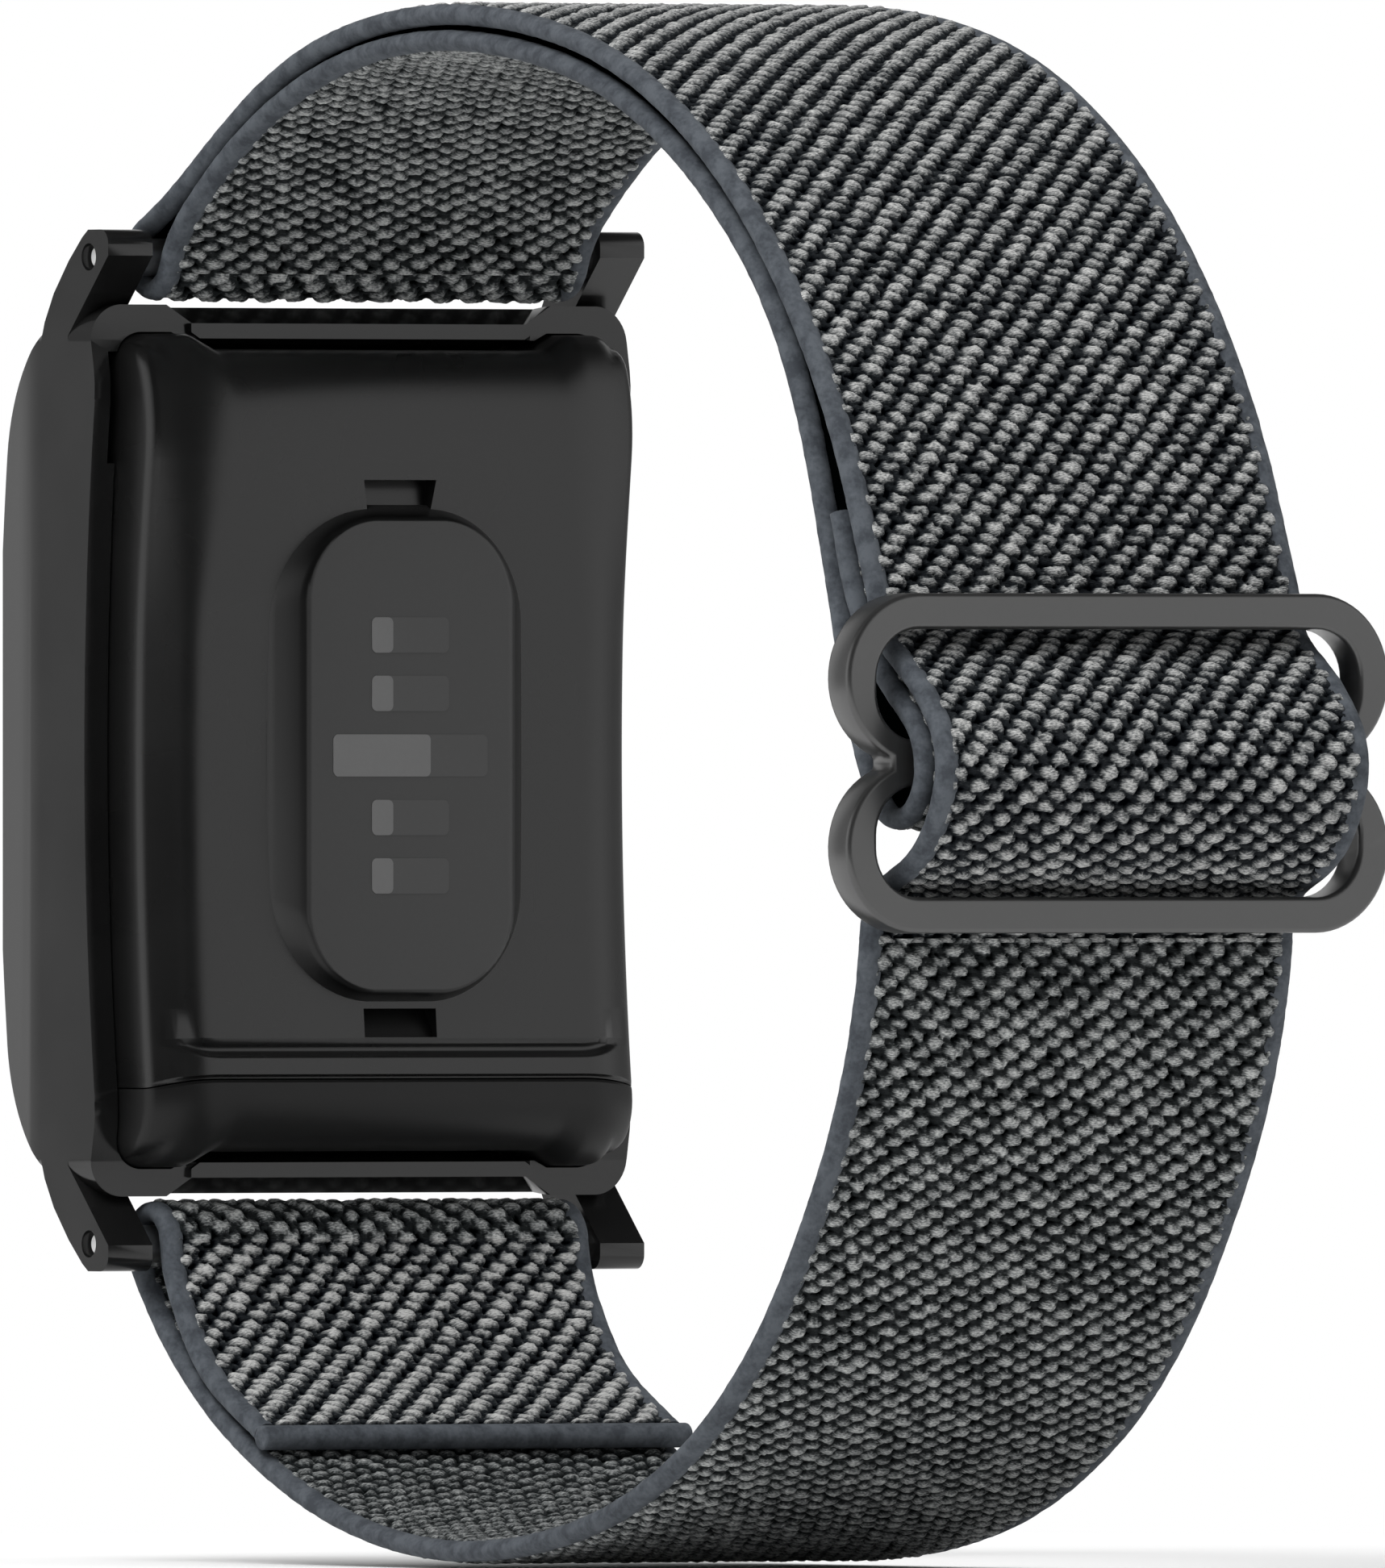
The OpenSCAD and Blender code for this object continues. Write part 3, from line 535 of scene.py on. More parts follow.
def noise_on(nodes, links, coordinates, scale, detail=2.0, stretch=(1, 1, 1)):
    """Noise from 0 to 1 at the coordinates, finer along each axis by its stretch."""
    mapping = nodes.new("ShaderNodeMapping")
    mapping.inputs["Scale"].default_value = stretch
    links.new(coordinates, mapping.inputs["Vector"])
    noise = nodes.new("ShaderNodeTexNoise")
    noise.inputs["Scale"].default_value = scale
    noise.inputs["Detail"].default_value = detail
    links.new(mapping.outputs["Vector"], noise.inputs["Vector"])
    return noise.outputs["Fac"]


def noted(nodes, name):
    """The numbers that note() stored under a name."""
    attribute = nodes.new("ShaderNodeAttribute")
    attribute.attribute_name = name
    return attribute.outputs["Fac"]


def swing(nodes, links, value, strength):
    """A value's distance from a half, times a strength."""
    return math_node(nodes, links, "MULTIPLY", math_node(nodes, links, "SUBTRACT", value, 0.5), strength)


def cloth_material(name, gap_shade, low, high, tip):
    """Woven yarn whose colour follows its relief: painted shade in the gaps between the nubs and down their flanks,
    a painted highlight on their tips, painted light and shade along each nub, and streaks along the fibres that are
    partly their own random lightness and partly painted glints.
    """
    material, nodes, links, shader = new_material(name)
    height, tone_and_shade = noted(nodes, "height"), noted(nodes, "tone_and_shade")
    place = nodes.new("ShaderNodeUVMap")
    place.uv_map = "cloth"
    fibre = noise_on(nodes, links, place.outputs["UV"], 1.0, 3.0, (6, 20, 1))
    fleck = noise_on(nodes, links, place.outputs["UV"], 1.0, 1.0, (3.1, 5.2, 1))
    # Colour follows height: painted shade in the low gaps, painted highlight on the high tips.
    level = math_node(nodes, links, "MULTIPLY", height, 0.78)
    # Streaks along the fibres and broad flecks, lighter and darker at random; the streaks partly stand in for the
    # fibres' glints as painted highlight.
    fibre_streaks_and_glints = math_node(nodes, links, "ADD", swing(nodes, links, fibre, 1.2), swing(nodes, links, fleck, 0.2))
    fibre_streaks_and_glints = math_node(nodes, links, "MULTIPLY", fibre_streaks_and_glints, height)
    # Painted light and shade along each nub, and the weaves painted lighter or darker, from the noted lightness.
    shade = math_node(nodes, links, "MULTIPLY", swing(nodes, links, tone_and_shade, 0.42), height)
    level = math_node(nodes, links, "ADD", math_node(nodes, links, "ADD", level, fibre_streaks_and_glints), shade)
    # The ramp runs from painted shade between the nubs, through the yarn's greys, to a painted highlight on the
    # nubs' tops.
    colours = ramp(nodes, [(0.13, gap_shade), (0.47, low), (0.69, high), (1.0, tip)])
    links.new(level, colours.inputs["Fac"])
    links.new(colours.outputs["Color"], shader.inputs["Base Color"])
    shader.inputs["Roughness"].default_value = 0.8
    shine = math_node(nodes, links, "MULTIPLY", math_node(nodes, links, "POWER", height, 2.0), 0.4)
    links.new(shine, shader.inputs["Specular IOR Level"])
    roughen(nodes, links, shader, fibre, 0.9, 0.1)
    return material


def roughen(nodes, links, shader, height, strength, relief):
    """Fine relief, in millimetres, under a shader."""
    bump = nodes.new("ShaderNodeBump")
    bump.inputs["Strength"].default_value = strength
    bump.inputs["Distance"].default_value = relief * MM
    links.new(height, bump.inputs["Height"])
    links.new(bump.outputs["Normal"], shader.inputs["Normal"])


def blended(nodes, links, a, b, share):
    """Two noises added, the first by its share."""
    first = math_node(nodes, links, "MULTIPLY", a, share)
    return math_node(nodes, links, "ADD", first, math_node(nodes, links, "MULTIPLY", b, 1 - share))


def felt_material(name, dark, pale):
    """Felted edge yarn: slate grey with soft cloudy mottling."""
    material, nodes, links, shader = new_material(name)
    place = nodes.new("ShaderNodeTexCoord").outputs["Object"]
    cloud = noise_on(nodes, links, place, 1300, 3.0)
    hair = noise_on(nodes, links, place, 6000, 2.0)
    mix = blended(nodes, links, cloud, hair, 0.7)
    colours = ramp(nodes, [(0.38, dark), (0.6, pale)])
    links.new(mix, colours.inputs["Fac"])
    links.new(colours.outputs["Color"], shader.inputs["Base Color"])
    shader.inputs["Roughness"].default_value = 0.9
    shader.inputs["Specular IOR Level"].default_value = 0.25
    roughen(nodes, links, shader, mix, 0.5, 0.06)
    return material


GRAIN, CLOUD = 5000, 200


def hard_material(name, dark, pale, roughness, metallic=0.0, specular=0.5, relief=0.004):
    """A coated or moulded surface with a fine grain in its colour, gloss and relief."""
    material, nodes, links, shader = new_material(name)
    place = nodes.new("ShaderNodeTexCoord").outputs["Object"]
    fine = noise_on(nodes, links, place, GRAIN)
    broad = noise_on(nodes, links, place, CLOUD)
    colours = ramp(nodes, [(0.35, dark), (0.65, pale)])
    links.new(blended(nodes, links, fine, broad, 0.4), colours.inputs["Fac"])
    links.new(colours.outputs["Color"], shader.inputs["Base Color"])
    gloss = math_node(nodes, links, "MULTIPLY_ADD", broad, 0.1)
    gloss.node.inputs[2].default_value = roughness - 0.05
    links.new(gloss, shader.inputs["Roughness"])
    shader.inputs["Metallic"].default_value = metallic
    shader.inputs["Specular IOR Level"].default_value = specular
    roughen(nodes, links, shader, fine, 0.25, relief)
    return material


def paint_flank_shade(material, dark):
    """Paints shade on a moulding: its dark colour where its flank attribute is 1."""
    nodes, links = material.node_tree.nodes, material.node_tree.links
    colour = nodes["Principled BSDF"].inputs["Base Color"]
    mix = nodes.new("ShaderNodeMix")
    mix.data_type = "RGBA"
    links.new(noted(nodes, "flank"), mix.inputs[0])
    links.new(colour.links[0].from_socket, mix.inputs[6])
    mix.inputs[7].default_value = (*dark, 1)
    links.new(mix.outputs[2], colour)


def grey(level):
    return (level, level, level)


# Each cloth's colours: painted shade in the gaps, two yarn greys, and a painted highlight on the nub tips.
TWILL_CLOTH = cloth_material(
    "nylon twill", (0.0005, 0.001, 0.002), (0.017, 0.02, 0.023), (0.17, 0.176, 0.176), (0.54, 0.54, 0.53),
)
PEBBLE_CLOTH = cloth_material(
    "nylon pebble weave", (0.0005, 0.001, 0.001), (0.018, 0.021, 0.022), (0.165, 0.174, 0.174), (0.54, 0.55, 0.54),
)
EDGE_FELT = felt_material("edge felt", (0.045, 0.051, 0.06), (0.085, 0.095, 0.108))
CASE_COAT = hard_material("case coat", grey(0.006), grey(0.0075), 0.2)
SLIDER_COAT = hard_material("slider coat", grey(0.016), grey(0.019), 0.3, specular=1.0)
MODULE_SHELL = hard_material("module moulding", grey(0.004), grey(0.0055), 0.28)
END_SHELL = hard_material("end cap moulding", grey(0.004), grey(0.0055), 0.45, specular=0.3)
DOME_LENS = hard_material("dome lens", grey(0.026), grey(0.029), 0.34, specular=0.4, relief=0.001)
# The dome's steep flank is painted dark, as painted shade.
paint_flank_shade(DOME_LENS, grey(0.002))
PALE_WINDOW = hard_material("pale window", grey(0.122), grey(0.13), 0.4, specular=0.3, relief=0.001)
DIM_WINDOW = hard_material("dim window", grey(0.05), grey(0.054), 0.4, specular=0.3, relief=0.001)
TURNED_STEEL = hard_material("turned steel", grey(0.55), grey(0.65), 0.3, metallic=1.0)
PIN_TIP = hard_material("blasted pin tip", grey(0.8), grey(0.85), 0.5, metallic=0.2)
SPRING_WIRE = hard_material("spring wire", grey(0.4), grey(0.5), 0.35, metallic=1.0)
SEAL_RUBBER = hard_material("seal rubber", grey(0.04), grey(0.05), 0.7)
BOARD_MASK = hard_material("board mask", (0.012, 0.1, 0.04), (0.02, 0.14, 0.06), 0.4)
CELL_FOIL = hard_material("cell foil", grey(0.5), grey(0.6), 0.35, metallic=0.9)
MOTOR_CAN = hard_material("motor can", grey(0.5), grey(0.58), 0.3, metallic=1.0)


def give(piece, material):
    """Gives a piece its material."""
    piece.data.materials.clear()
    piece.data.materials.append(material)
    return piece


# Band


SPLIT_Y = 10.0
FINE, MEDIUM = 0.1, 0.13
OVERLAP = 0.15


def dress_stretch(name, run, start, stop, up, down, sense, pitch, node):
    """Cloth and rolled edges of one stretch, for one node. sense is the way in which the weave runs."""
    fabric = TWILL_CLOTH if up in (TWILL, PAINTED_LIT_TAIL_TWILL) else PEBBLE_CLOTH
    pieces = [
        give(cloth(name + "_cloth", run, start, stop, up, down, sense, pitch), fabric),
        give(edge_rolls(name + "_edges", run, start, stop), EDGE_FELT),
    ]
    for piece in pieces:
        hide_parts(node)
    return pieces


def stretch_with_band(piece):
    """Bakes a piece's placement into its mesh."""
    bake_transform(piece)


def dress_layer(node, run, up, down, sense, pitch):
    """A layer from the spring bar to the slider, cut where the stretch gives way to the slider's travel."""
    cut = run.distance_at_y(SPLIT_Y)
    z = run.at(np.array([0.0]))[0][0, 1] * MM
    for piece in dress_stretch(node + "_front", run, 0, cut, up, down, sense, pitch, node):
        stretch_with_band(piece)
    for piece in dress_stretch(node + "_rear", run, cut, run.length, up, down, sense, pitch, node):
        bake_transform(piece)


def dress_turn(node, run, start, stop, up, down, sense, pitch, body):
    """A turn of the band round a bar, which rides on one body."""
    for piece in dress_stretch(node, run, start, stop, up, down, sense, pitch, node):
        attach(piece, body)


def dress_band():
    """The band's layers, its folded and bound tail, and its turns round the bars."""
    dress_layer("outer_layer", OUTER, TWILL, None, 1, FINE)
    dress_layer("inner_layer", INNER, None, PEBBLE, -1, FINE)
    # The lower layer's inner face takes the pebble weave painted darker, as painted shade.
    dress_layer("lower_layer", LOWER, PAINTED_SHADED_KEEL_PEBBLE, PEBBLE, -1, MEDIUM)
    binding = give(dressed("tail_binding", 0.12), EDGE_FELT)
    # The folded tail takes the twill painted lighter, as painted light.
    tail = dress_stretch("lower_tail", TAIL, 0, TAIL.length, PAINTED_LIT_TAIL_TWILL, None, 1, FINE, "lower_tail")
    for piece in tail + [binding]:
        stretch_with_band(piece)
    dress_turn("slider_wrap", WRAP, -OVERLAP, WRAP.length + 2 * OVERLAP, TWILL, PEBBLE, 1, FINE, "slider")
    dress_turn("slider_loop", SLIDER_LOOP, -OVERLAP, SLIDER_LOOP.length, None, PEBBLE, -1, MEDIUM, "slider")
    dress_turn("upper_loop_band", UPPER_LOOP, 0, UPPER_LOOP.length, None, PEBBLE, 1, MEDIUM, "upper_loop")
    dress_turn("lower_loop_band", LOWER_LOOP, 0, LOWER_LOOP.length, None, PEBBLE, 1, MEDIUM, "lower_loop")


# Case, module and slider


CASE_Z = middle("case_shell")[1]
MODULE_HALF_W = node_box("module_front_cover")[1][0]
MODULE_HALF_L = CASE_Z - node_box("module_end_cap")[0][2]
MODULE_FRONT = node_box("module_back_cover")[0][1] + 0.05
DOME_TOP = node_box("sensor_dome")[1][1]
DOME_Z = middle("sensor_dome")[1]
MODULE_Y = DOME_TOP - 1.28

# The transverse land between two grooves, and the notches above and below the dome
LAND_UPPER, LAND_LOWER = -12.05, -13.19
UPPER_RISE, LOWER_RISE = 1.25, -0.4
UPPER_GROOVE, LOWER_GROOVE = 0.3, 0.16
NOTCH_HALF_W = 1.705
TOP_NOTCH, TOP_NOTCH_HALF, TOP_NOTCH_FOOT = 10.245, 0.65, 9.59
FOOT_NOTCH, FOOT_NOTCH_HALF, FOOT_NOTCH_FOOT = -10.97, 0.575, -11.545

# Twice the radius of the hollow along the module, and the radius of its corners
HOLLOW = 246
CORNER_R = 1.22


def steps(*spans):
    """Rising values through spans, each given as start, stop and pitch."""
    parts = [np.linspace(a, b, max(2, round((b - a) / pitch) + 1)) for a, b, pitch in spans]
    return np.unique(np.round(np.concatenate(parts), 4))


EDGE_R, EDGE_TURN = 0.8, math.radians(48)
# Length and fall of the rounded lower end, -1, and upper end, 1
END_FALLS = {-1: (3.2, 3.2), 1: (5.0, 2.6)}
LIP_HALF, LIP_IN = 7.8, 0.62


def shoulder_section():
    """Half section across the module: places of the broad shoulder, the edge and the wall, and the edge's drops."""
    turn = np.radians(np.linspace(48, 0, 9)[1:])
    reach = MODULE_HALF_W - EDGE_R * (1 - math.cos(EDGE_TURN))
    edge = MODULE_HALF_W - EDGE_R * (1 - np.cos(turn))
    edge_drop = EDGE_R * (math.sin(EDGE_TURN) - np.sin(turn))
    u = np.linspace(0, 1, 16)
    places = np.concatenate([reach - 3.3 * (1 - u), edge, [MODULE_HALF_W]])
    return places, np.concatenate([0 * u, edge_drop, [4.5]]), reach


def end_section(side):
    """Places and drops of one end of the module, which falls along an ellipse."""
    run, fall = END_FALLS[side]
    turn = np.radians(np.linspace(0, 90, 17))
    places = MODULE_HALF_L - run * (1 - np.sin(turn))
    return np.append(places, MODULE_HALF_L), np.append(fall * (1 - np.cos(turn)), 5.5)


def line_at(z, rise, x):
    """Place of a line of the transverse land, which bends at both ends."""
    return z + rise * (np.maximum(0, np.abs(x) - MODULE_HALF_W + 2.9) / 3) ** 2


def bump_at(distance, half):
    """1 at no distance, falling to 0 at the half width."""
    return np.clip(1 - (distance / half) ** 2, 0, 1)


def module_grid(low, high):
    """Places across and along the module's back, the drops there, and where the shoulder starts to fall."""
    side, side_drop, reach = shoulder_section()
    x_half = steps((0, 1.6, 0.4), (1.7, 1.71, 0.01), (1.9, side[0] - 0.2, 0.35))
    xs, x_drop = np.concatenate([x_half, side]), np.concatenate([0 * x_half, side_drop])
    xs, x_drop = np.concatenate([-xs[:0:-1], xs]), np.concatenate([x_drop[:0:-1], x_drop])
    below, below_drop = end_section(-1)
    above, above_drop = end_section(1)
    # The pairs of close rows are the notches' walls
    middle_z = steps(
        (-below[0] + 0.05, -12.7, 0.04), (-12.7, -11.8, 0.04), (-11.55, -11.54, 0.01), (-10.4, -10.39, 0.01),
        (-10.3, 9.5, 0.35), (9.59, 9.6, 0.01), (10.89, 10.9, 0.01), (11.1, above[0] - 0.1, 0.3),
    )
    zs = np.concatenate([-below[::-1], middle_z, above])
    z_drop = np.concatenate([below_drop[::-1], 0 * middle_z, above_drop])
    keep = (zs > low - 0.001) & (zs < high + 0.001)
    zs, z_drop = zs[keep], z_drop[keep]
    if low > -MODULE_HALF_L:
        zs, z_drop = np.concatenate([[low], zs]), np.concatenate([[0], z_drop])
    if high < MODULE_HALF_L:
        zs, z_drop = np.concatenate([zs, [high]]), np.concatenate([z_drop, [0]])
    return xs, x_drop, zs, z_drop, reach


def groove_depth(x, z):
    """Depth of the two grooves beside the transverse land, which fade towards the walls."""
    upper = UPPER_GROOVE * bump_at(z - line_at(LAND_UPPER, UPPER_RISE, x), UPPER_GROOVE)
    lower = LOWER_GROOVE * bump_at(z - line_at(LAND_LOWER, LOWER_RISE, x), LOWER_GROOVE)
    return (upper + lower) * np.clip((11.2 - np.abs(x)) / 1.5, 0.15, 1)


def notch_depth(x, z):
    """Depth of the notches above and below the dome, whose floors slope along the module."""
    top = (np.abs(x) < NOTCH_HALF_W) & (np.abs(z - TOP_NOTCH) < TOP_NOTCH_HALF)
    foot = (np.abs(x) < NOTCH_HALF_W) & (np.abs(z - FOOT_NOTCH) < FOOT_NOTCH_HALF)
    return top * (0.45 + 0.3 * (z - TOP_NOTCH_FOOT)) + foot * (0.3 + 0.5 * (z - FOOT_NOTCH_FOOT))


def shoulder_fall(x, z, reach):
    """How far the broad shoulders fall. They widen towards the upper end."""
    wide = np.clip((z - 4) / 9, 0, 1)
    wide = wide**2 * (3 - 2 * wide)
    run, fall = 2.2 + 1.1 * wide, 0.75 - 0.2 * wide
    return fall * np.clip((np.minimum(np.abs(x), reach) - reach + run) / run, 0, 1) ** 2


def round_corners(x, z):
    """Places near the module's four corners, drawn in to the corners' radius."""
    dx, dz = np.abs(x) - MODULE_HALF_W + CORNER_R, np.abs(z) - MODULE_HALF_L + CORNER_R
    ratio = np.where((dx > 0) & (dz > 0), np.maximum(dx, dz) / np.maximum(np.hypot(dx, dz), 0.001), 1)
    return np.sign(x) * (np.abs(x) - dx * (1 - ratio)), np.sign(z) * (np.abs(z) - dz * (1 - ratio))


def clear_lips(x, z):
    """Places along the module, drawn in at its ends where the case's lips reach over it."""
    lip = np.clip((LIP_HALF + 1.2 - np.abs(x)) / 1.2, 0, 1) * LIP_IN
    return z - np.sign(z) * lip * np.clip((np.abs(z) - MODULE_HALF_L + 3) / 3, 0, 1)


def module_back(name, low, high):
    """The module's hollow back with its shoulders and its land, from one place to another along its length."""
    xs, x_drop, zs, z_drop, reach = module_grid(low, high)
    bm = bmesh.new()
    bmesh.ops.create_grid(bm, x_segments=len(xs) - 1, y_segments=len(zs) - 1, size=1)
    hem = bmesh.ops.extrude_edge_only(bm, edges=boundary(bm))["geom"]
    bmesh.ops.translate(bm, verts=corners_in(hem), vec=(0, 0, -1))
    bmesh.ops.holes_fill(bm, edges=boundary(bm), sides=0)
    piece = finished(bm, name)
    flat = vertices_of(piece)
    i = np.rint((flat[:, 0] + 1) / 2 * (len(xs) - 1)).astype(int)
    k = np.rint((flat[:, 1] + 1) / 2 * (len(zs) - 1)).astype(int)
    x, z = xs[i], zs[k]
    cut = low if low > -MODULE_HALF_L else high
    z = z + line_at(0, LOWER_RISE, x) * np.clip(1 - np.abs(z - cut) / 2.5, 0, 1)
    sunk = groove_depth(x, z) + notch_depth(x, z)
    tapered = (np.abs(z - TOP_NOTCH) < 0.66) & (np.abs(x) < 1.8)
    x = np.where(tapered, x * (1 - 0.1 * (10.9 - z)), x)
    y = MODULE_Y + z**2 / HOLLOW - shoulder_fall(x, z, reach) - x_drop[i] - z_drop[k] - sunk
    y = np.where(flat[:, 2] < -0.5, MODULE_FRONT, np.maximum(y, MODULE_FRONT + 0.1))
    x, z = round_corners(x, z)
    z = clear_lips(x, z)
    piece.data.vertices.foreach_set("co", (np.column_stack([x, y, z + CASE_Z]) * MM).astype(np.float32).ravel())
    piece.data.update()
    piece.data.flip_normals()
    piece.data.set_sharp_from_angle(angle=math.radians(40))
    return piece


def pill_body(name, centre, rings, per_quarter=14):
    """A closed body of rounded rectangles, each given as width, length, corner radius and place along Y."""
    bm = bmesh.new()
    loops = []
    for w, l, r, y in rings:
        ring = bmesh.ops.create_circle(bm, segments=4 * per_quarter, radius=r)["verts"]
        bmesh.ops.rotate(bm, verts=ring, matrix=Matrix.Rotation(math.pi / (4 * per_quarter), 3, "Z"))
        for v in ring:
            v.co.x += math.copysign(w / 2 - r, v.co.x)
            v.co.y += math.copysign(l / 2 - r, v.co.y)
            v.co = Vector((centre[0] + v.co.x, y, centre[1] + v.co.y))
        loops.append([e for e in bm.edges if e.verts[0] in set(ring) and e.verts[1] in set(ring)])
    for a, b in zip(loops, loops[1:]):
        bmesh.ops.bridge_loops(bm, edges=a + b)
    bmesh.ops.holes_fill(bm, edges=loops[0], sides=0)
    bmesh.ops.holes_fill(bm, edges=loops[-1], sides=0)
    bmesh.ops.scale(bm, verts=bm.verts, vec=(MM, MM, MM))
    piece = finished(bm, name)
    piece.data.set_sharp_from_angle(angle=math.radians(60))
    return piece


DOME_W, DOME_L, DOME_CORNER_R = 12.1, 20.2, 4.8
FLANK_SLOPE, FLANK_IN, FLANK_UP = math.radians(48), 0.9, 1.02
DOME_EDGE_R = 0.72
# Each window's place along the dome, width, height and lit width
WINDOWS = [
    (4.85, 3.65, 1.43, 1.0), (2.5, 3.65, 1.43, 1.0), (0, 7.3, 1.7, 4.6),
    (-2.5, 3.65, 1.43, 1.0), (-4.85, 3.65, 1.43, 1.0),
]


def dome_rings():
    """The dome's rings from its foot to its top: width, length, corner radius and place along Y."""
    steps_in = [(0, -0.5), (0, -0.02)]
    steps_in += [(FLANK_IN * t, FLANK_UP * t) for t in (0.01, 0.3, 0.65, 1)]
    for a in [FLANK_SLOPE * (1 - t) for t in np.linspace(0, 1, 9)[1:]]:
        inset = FLANK_IN + DOME_EDGE_R * (math.sin(FLANK_SLOPE) - math.sin(a))
        steps_in.append((inset, FLANK_UP + DOME_EDGE_R * (math.cos(a) - math.cos(FLANK_SLOPE))))
    return [
        (DOME_W - 2 * inset, DOME_L - inset, DOME_CORNER_R - 1.19 * inset, MODULE_Y + up)
        for inset, up in steps_in
    ]


def window_body(name, x, z, wide, tall, corner, top):
    """A window let into the dome, from below its top to a little above it."""
    rings = [(wide, tall, corner, DOME_TOP - 0.3), (wide, tall, corner, DOME_TOP + top)]
    return pill_body(name, (x, DOME_Z + z), rings, per_quarter=6)


def dress_sensor():
    """The raised dome, with painted shade on its steep flank that deepens towards the top, and the windows of two
    greys in its top.
    """
    dome = give(pill_body("dome_moulding", (0, DOME_Z), dome_rings()), DOME_LENS)
    # Painted shade: the dome's steep faces are painted dark, more so higher up the flank.
    rise = np.clip((vertices_of(dome)[:, 1] / MM - MODULE_Y) / FLANK_UP, 0, 1)
    steep = np.array([vertex.normal.y < 0.93 for vertex in dome.data.vertices])
    note(dome, "flank", steep * (0.3 + 0.7 * rise))
    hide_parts("sensor_dome")
    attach(dome, "module")
    for k, (z, wide, tall, lit) in enumerate(WINDOWS):
        dim = give(window_body(f"dim_window_{k}", 0, z, wide, tall, 0.28, 0.006), DIM_WINDOW)
        pale = window_body(f"pale_window_{k}", wide / 2 - lit / 2, z, lit, tall, 0.24, 0.012)
        give(pale, PALE_WINDOW)
        for piece, node in ((dim, "detector_windows"), (pale, "led_windows")):
            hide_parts(node)
            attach(piece, "module")


LIP_RIMS = (16.2, 16.52)


def thin_lips(bm):
    """Slopes the retaining lips' inner faces back, so that their rims are narrow strips."""
    for v in bm.verts:
        x, y, z = abs(v.co.x) / MM, v.co.y / MM, v.co.z / MM - CASE_Z
        if x < 8.15 and y > -26 and LIP_RIMS[0] < abs(z) < LIP_RIMS[1]:
            v.co.z += math.copysign(0.34 * MM, z)


def dress_hardware():
    """The case and the slider with rounded edges, and the module's back in two mouldings."""
    case = give(dressed("case_shell", 0.16, trim=thin_lips), CASE_COAT)
    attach(case, "case")
    slider = give(dressed("slider_frame", 0.22), SLIDER_COAT)
    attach(slider, "slider")
    back = give(module_back("back_moulding", LAND_LOWER, MODULE_HALF_L), MODULE_SHELL)
    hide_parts("module_back_cover")
    cap = give(module_back("end_moulding", -MODULE_HALF_L, LAND_LOWER - 0.06), END_SHELL)
    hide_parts("module_end_cap")
    for piece in (back, cap):
        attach(piece, "module")
    dress_sensor()


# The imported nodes' own finishes, also of those that a finer piece replaces
NODE_FINISHES = {
    "case_shell": CASE_COAT,
    "upper_bar_tube": TURNED_STEEL, "lower_bar_tube": TURNED_STEEL,
    "upper_bar_spring": SPRING_WIRE, "lower_bar_spring": SPRING_WIRE,
    "upper_tip_near": PIN_TIP, "upper_tip_far": PIN_TIP,
    "lower_tip_near": PIN_TIP, "lower_tip_far": PIN_TIP,
    "module_front_cover": MODULE_SHELL, "module_back_cover": MODULE_SHELL, "module_end_cap": END_SHELL,
    "cover_gasket": SEAL_RUBBER, "sensor_dome": DOME_LENS,
    "led_windows": PALE_WINDOW, "detector_windows": DIM_WINDOW,
    "sensor_board": BOARD_MASK, "main_board": BOARD_MASK,
    "battery_cell": CELL_FOIL, "vibration_motor": MOTOR_CAN,
    "slider_frame": SLIDER_COAT, "tail_binding": EDGE_FELT,
}


def dress_nodes():
    """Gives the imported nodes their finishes."""
    for node, material in NODE_FINISHES.items():
        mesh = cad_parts[node].data
        mesh.materials.clear()
        mesh.materials.append(material)


# Camera, lights and floor

VIEW_AZIMUTH = 148
FRAME_H = 62.71 * MM
LENS, SENSOR = 1500, 36


def set_camera():
    """A very long lens from the photo's side, because the photo has almost no perspective."""
    data = bpy.data.cameras.new("camera")
    data.lens, data.sensor_width = LENS, SENSOR
    camera = bpy.data.objects.new("camera", data)
    SCENE.collection.objects.link(camera)
    turn = math.radians(VIEW_AZIMUTH)
    back = Vector((math.sin(turn), -math.cos(turn), 0))
    camera.location = back * (FRAME_H * LENS / SENSOR)
    camera.rotation_mode = "QUATERNION"
    camera.rotation_quaternion = (-back).to_track_quat("-Z", "Y")
    data.clip_start, data.clip_end = 0.1, 10
    SCENE.camera = camera


def soft_light(name, azimuth, elevation, distance, size, power):
    """A square area light that looks at the object from a direction."""
    data = bpy.data.lights.new(name, "AREA")
    data.size, data.energy = size, power
    light = bpy.data.objects.new(name, data)
    SCENE.collection.objects.link(light)
    a, e = math.radians(azimuth), math.radians(elevation)
    back = Vector((math.sin(a) * math.cos(e), -math.cos(a) * math.cos(e), math.sin(e)))
    light.location = back * distance
    light.rotation_mode = "QUATERNION"
    light.rotation_quaternion = back.to_track_quat("Z", "Y")
    light.visible_glossy = False


# What the hard surfaces mirror: degrees from +X towards +Y, and level
PANELS = [
    (-180, 0.3), (-150, 0.5), (-110, 0.98), (-64, 0.98), (-61.5, 0.35), (-40, 0.35), (-22, 1.3), (8, 1.3),
    (18, 0.35), (28, 0.25), (38, 0.03), (80, 0.03), (100, 0.7), (120, 1.12), (150, 1.12), (168, 0.6), (180, 0.3),
]


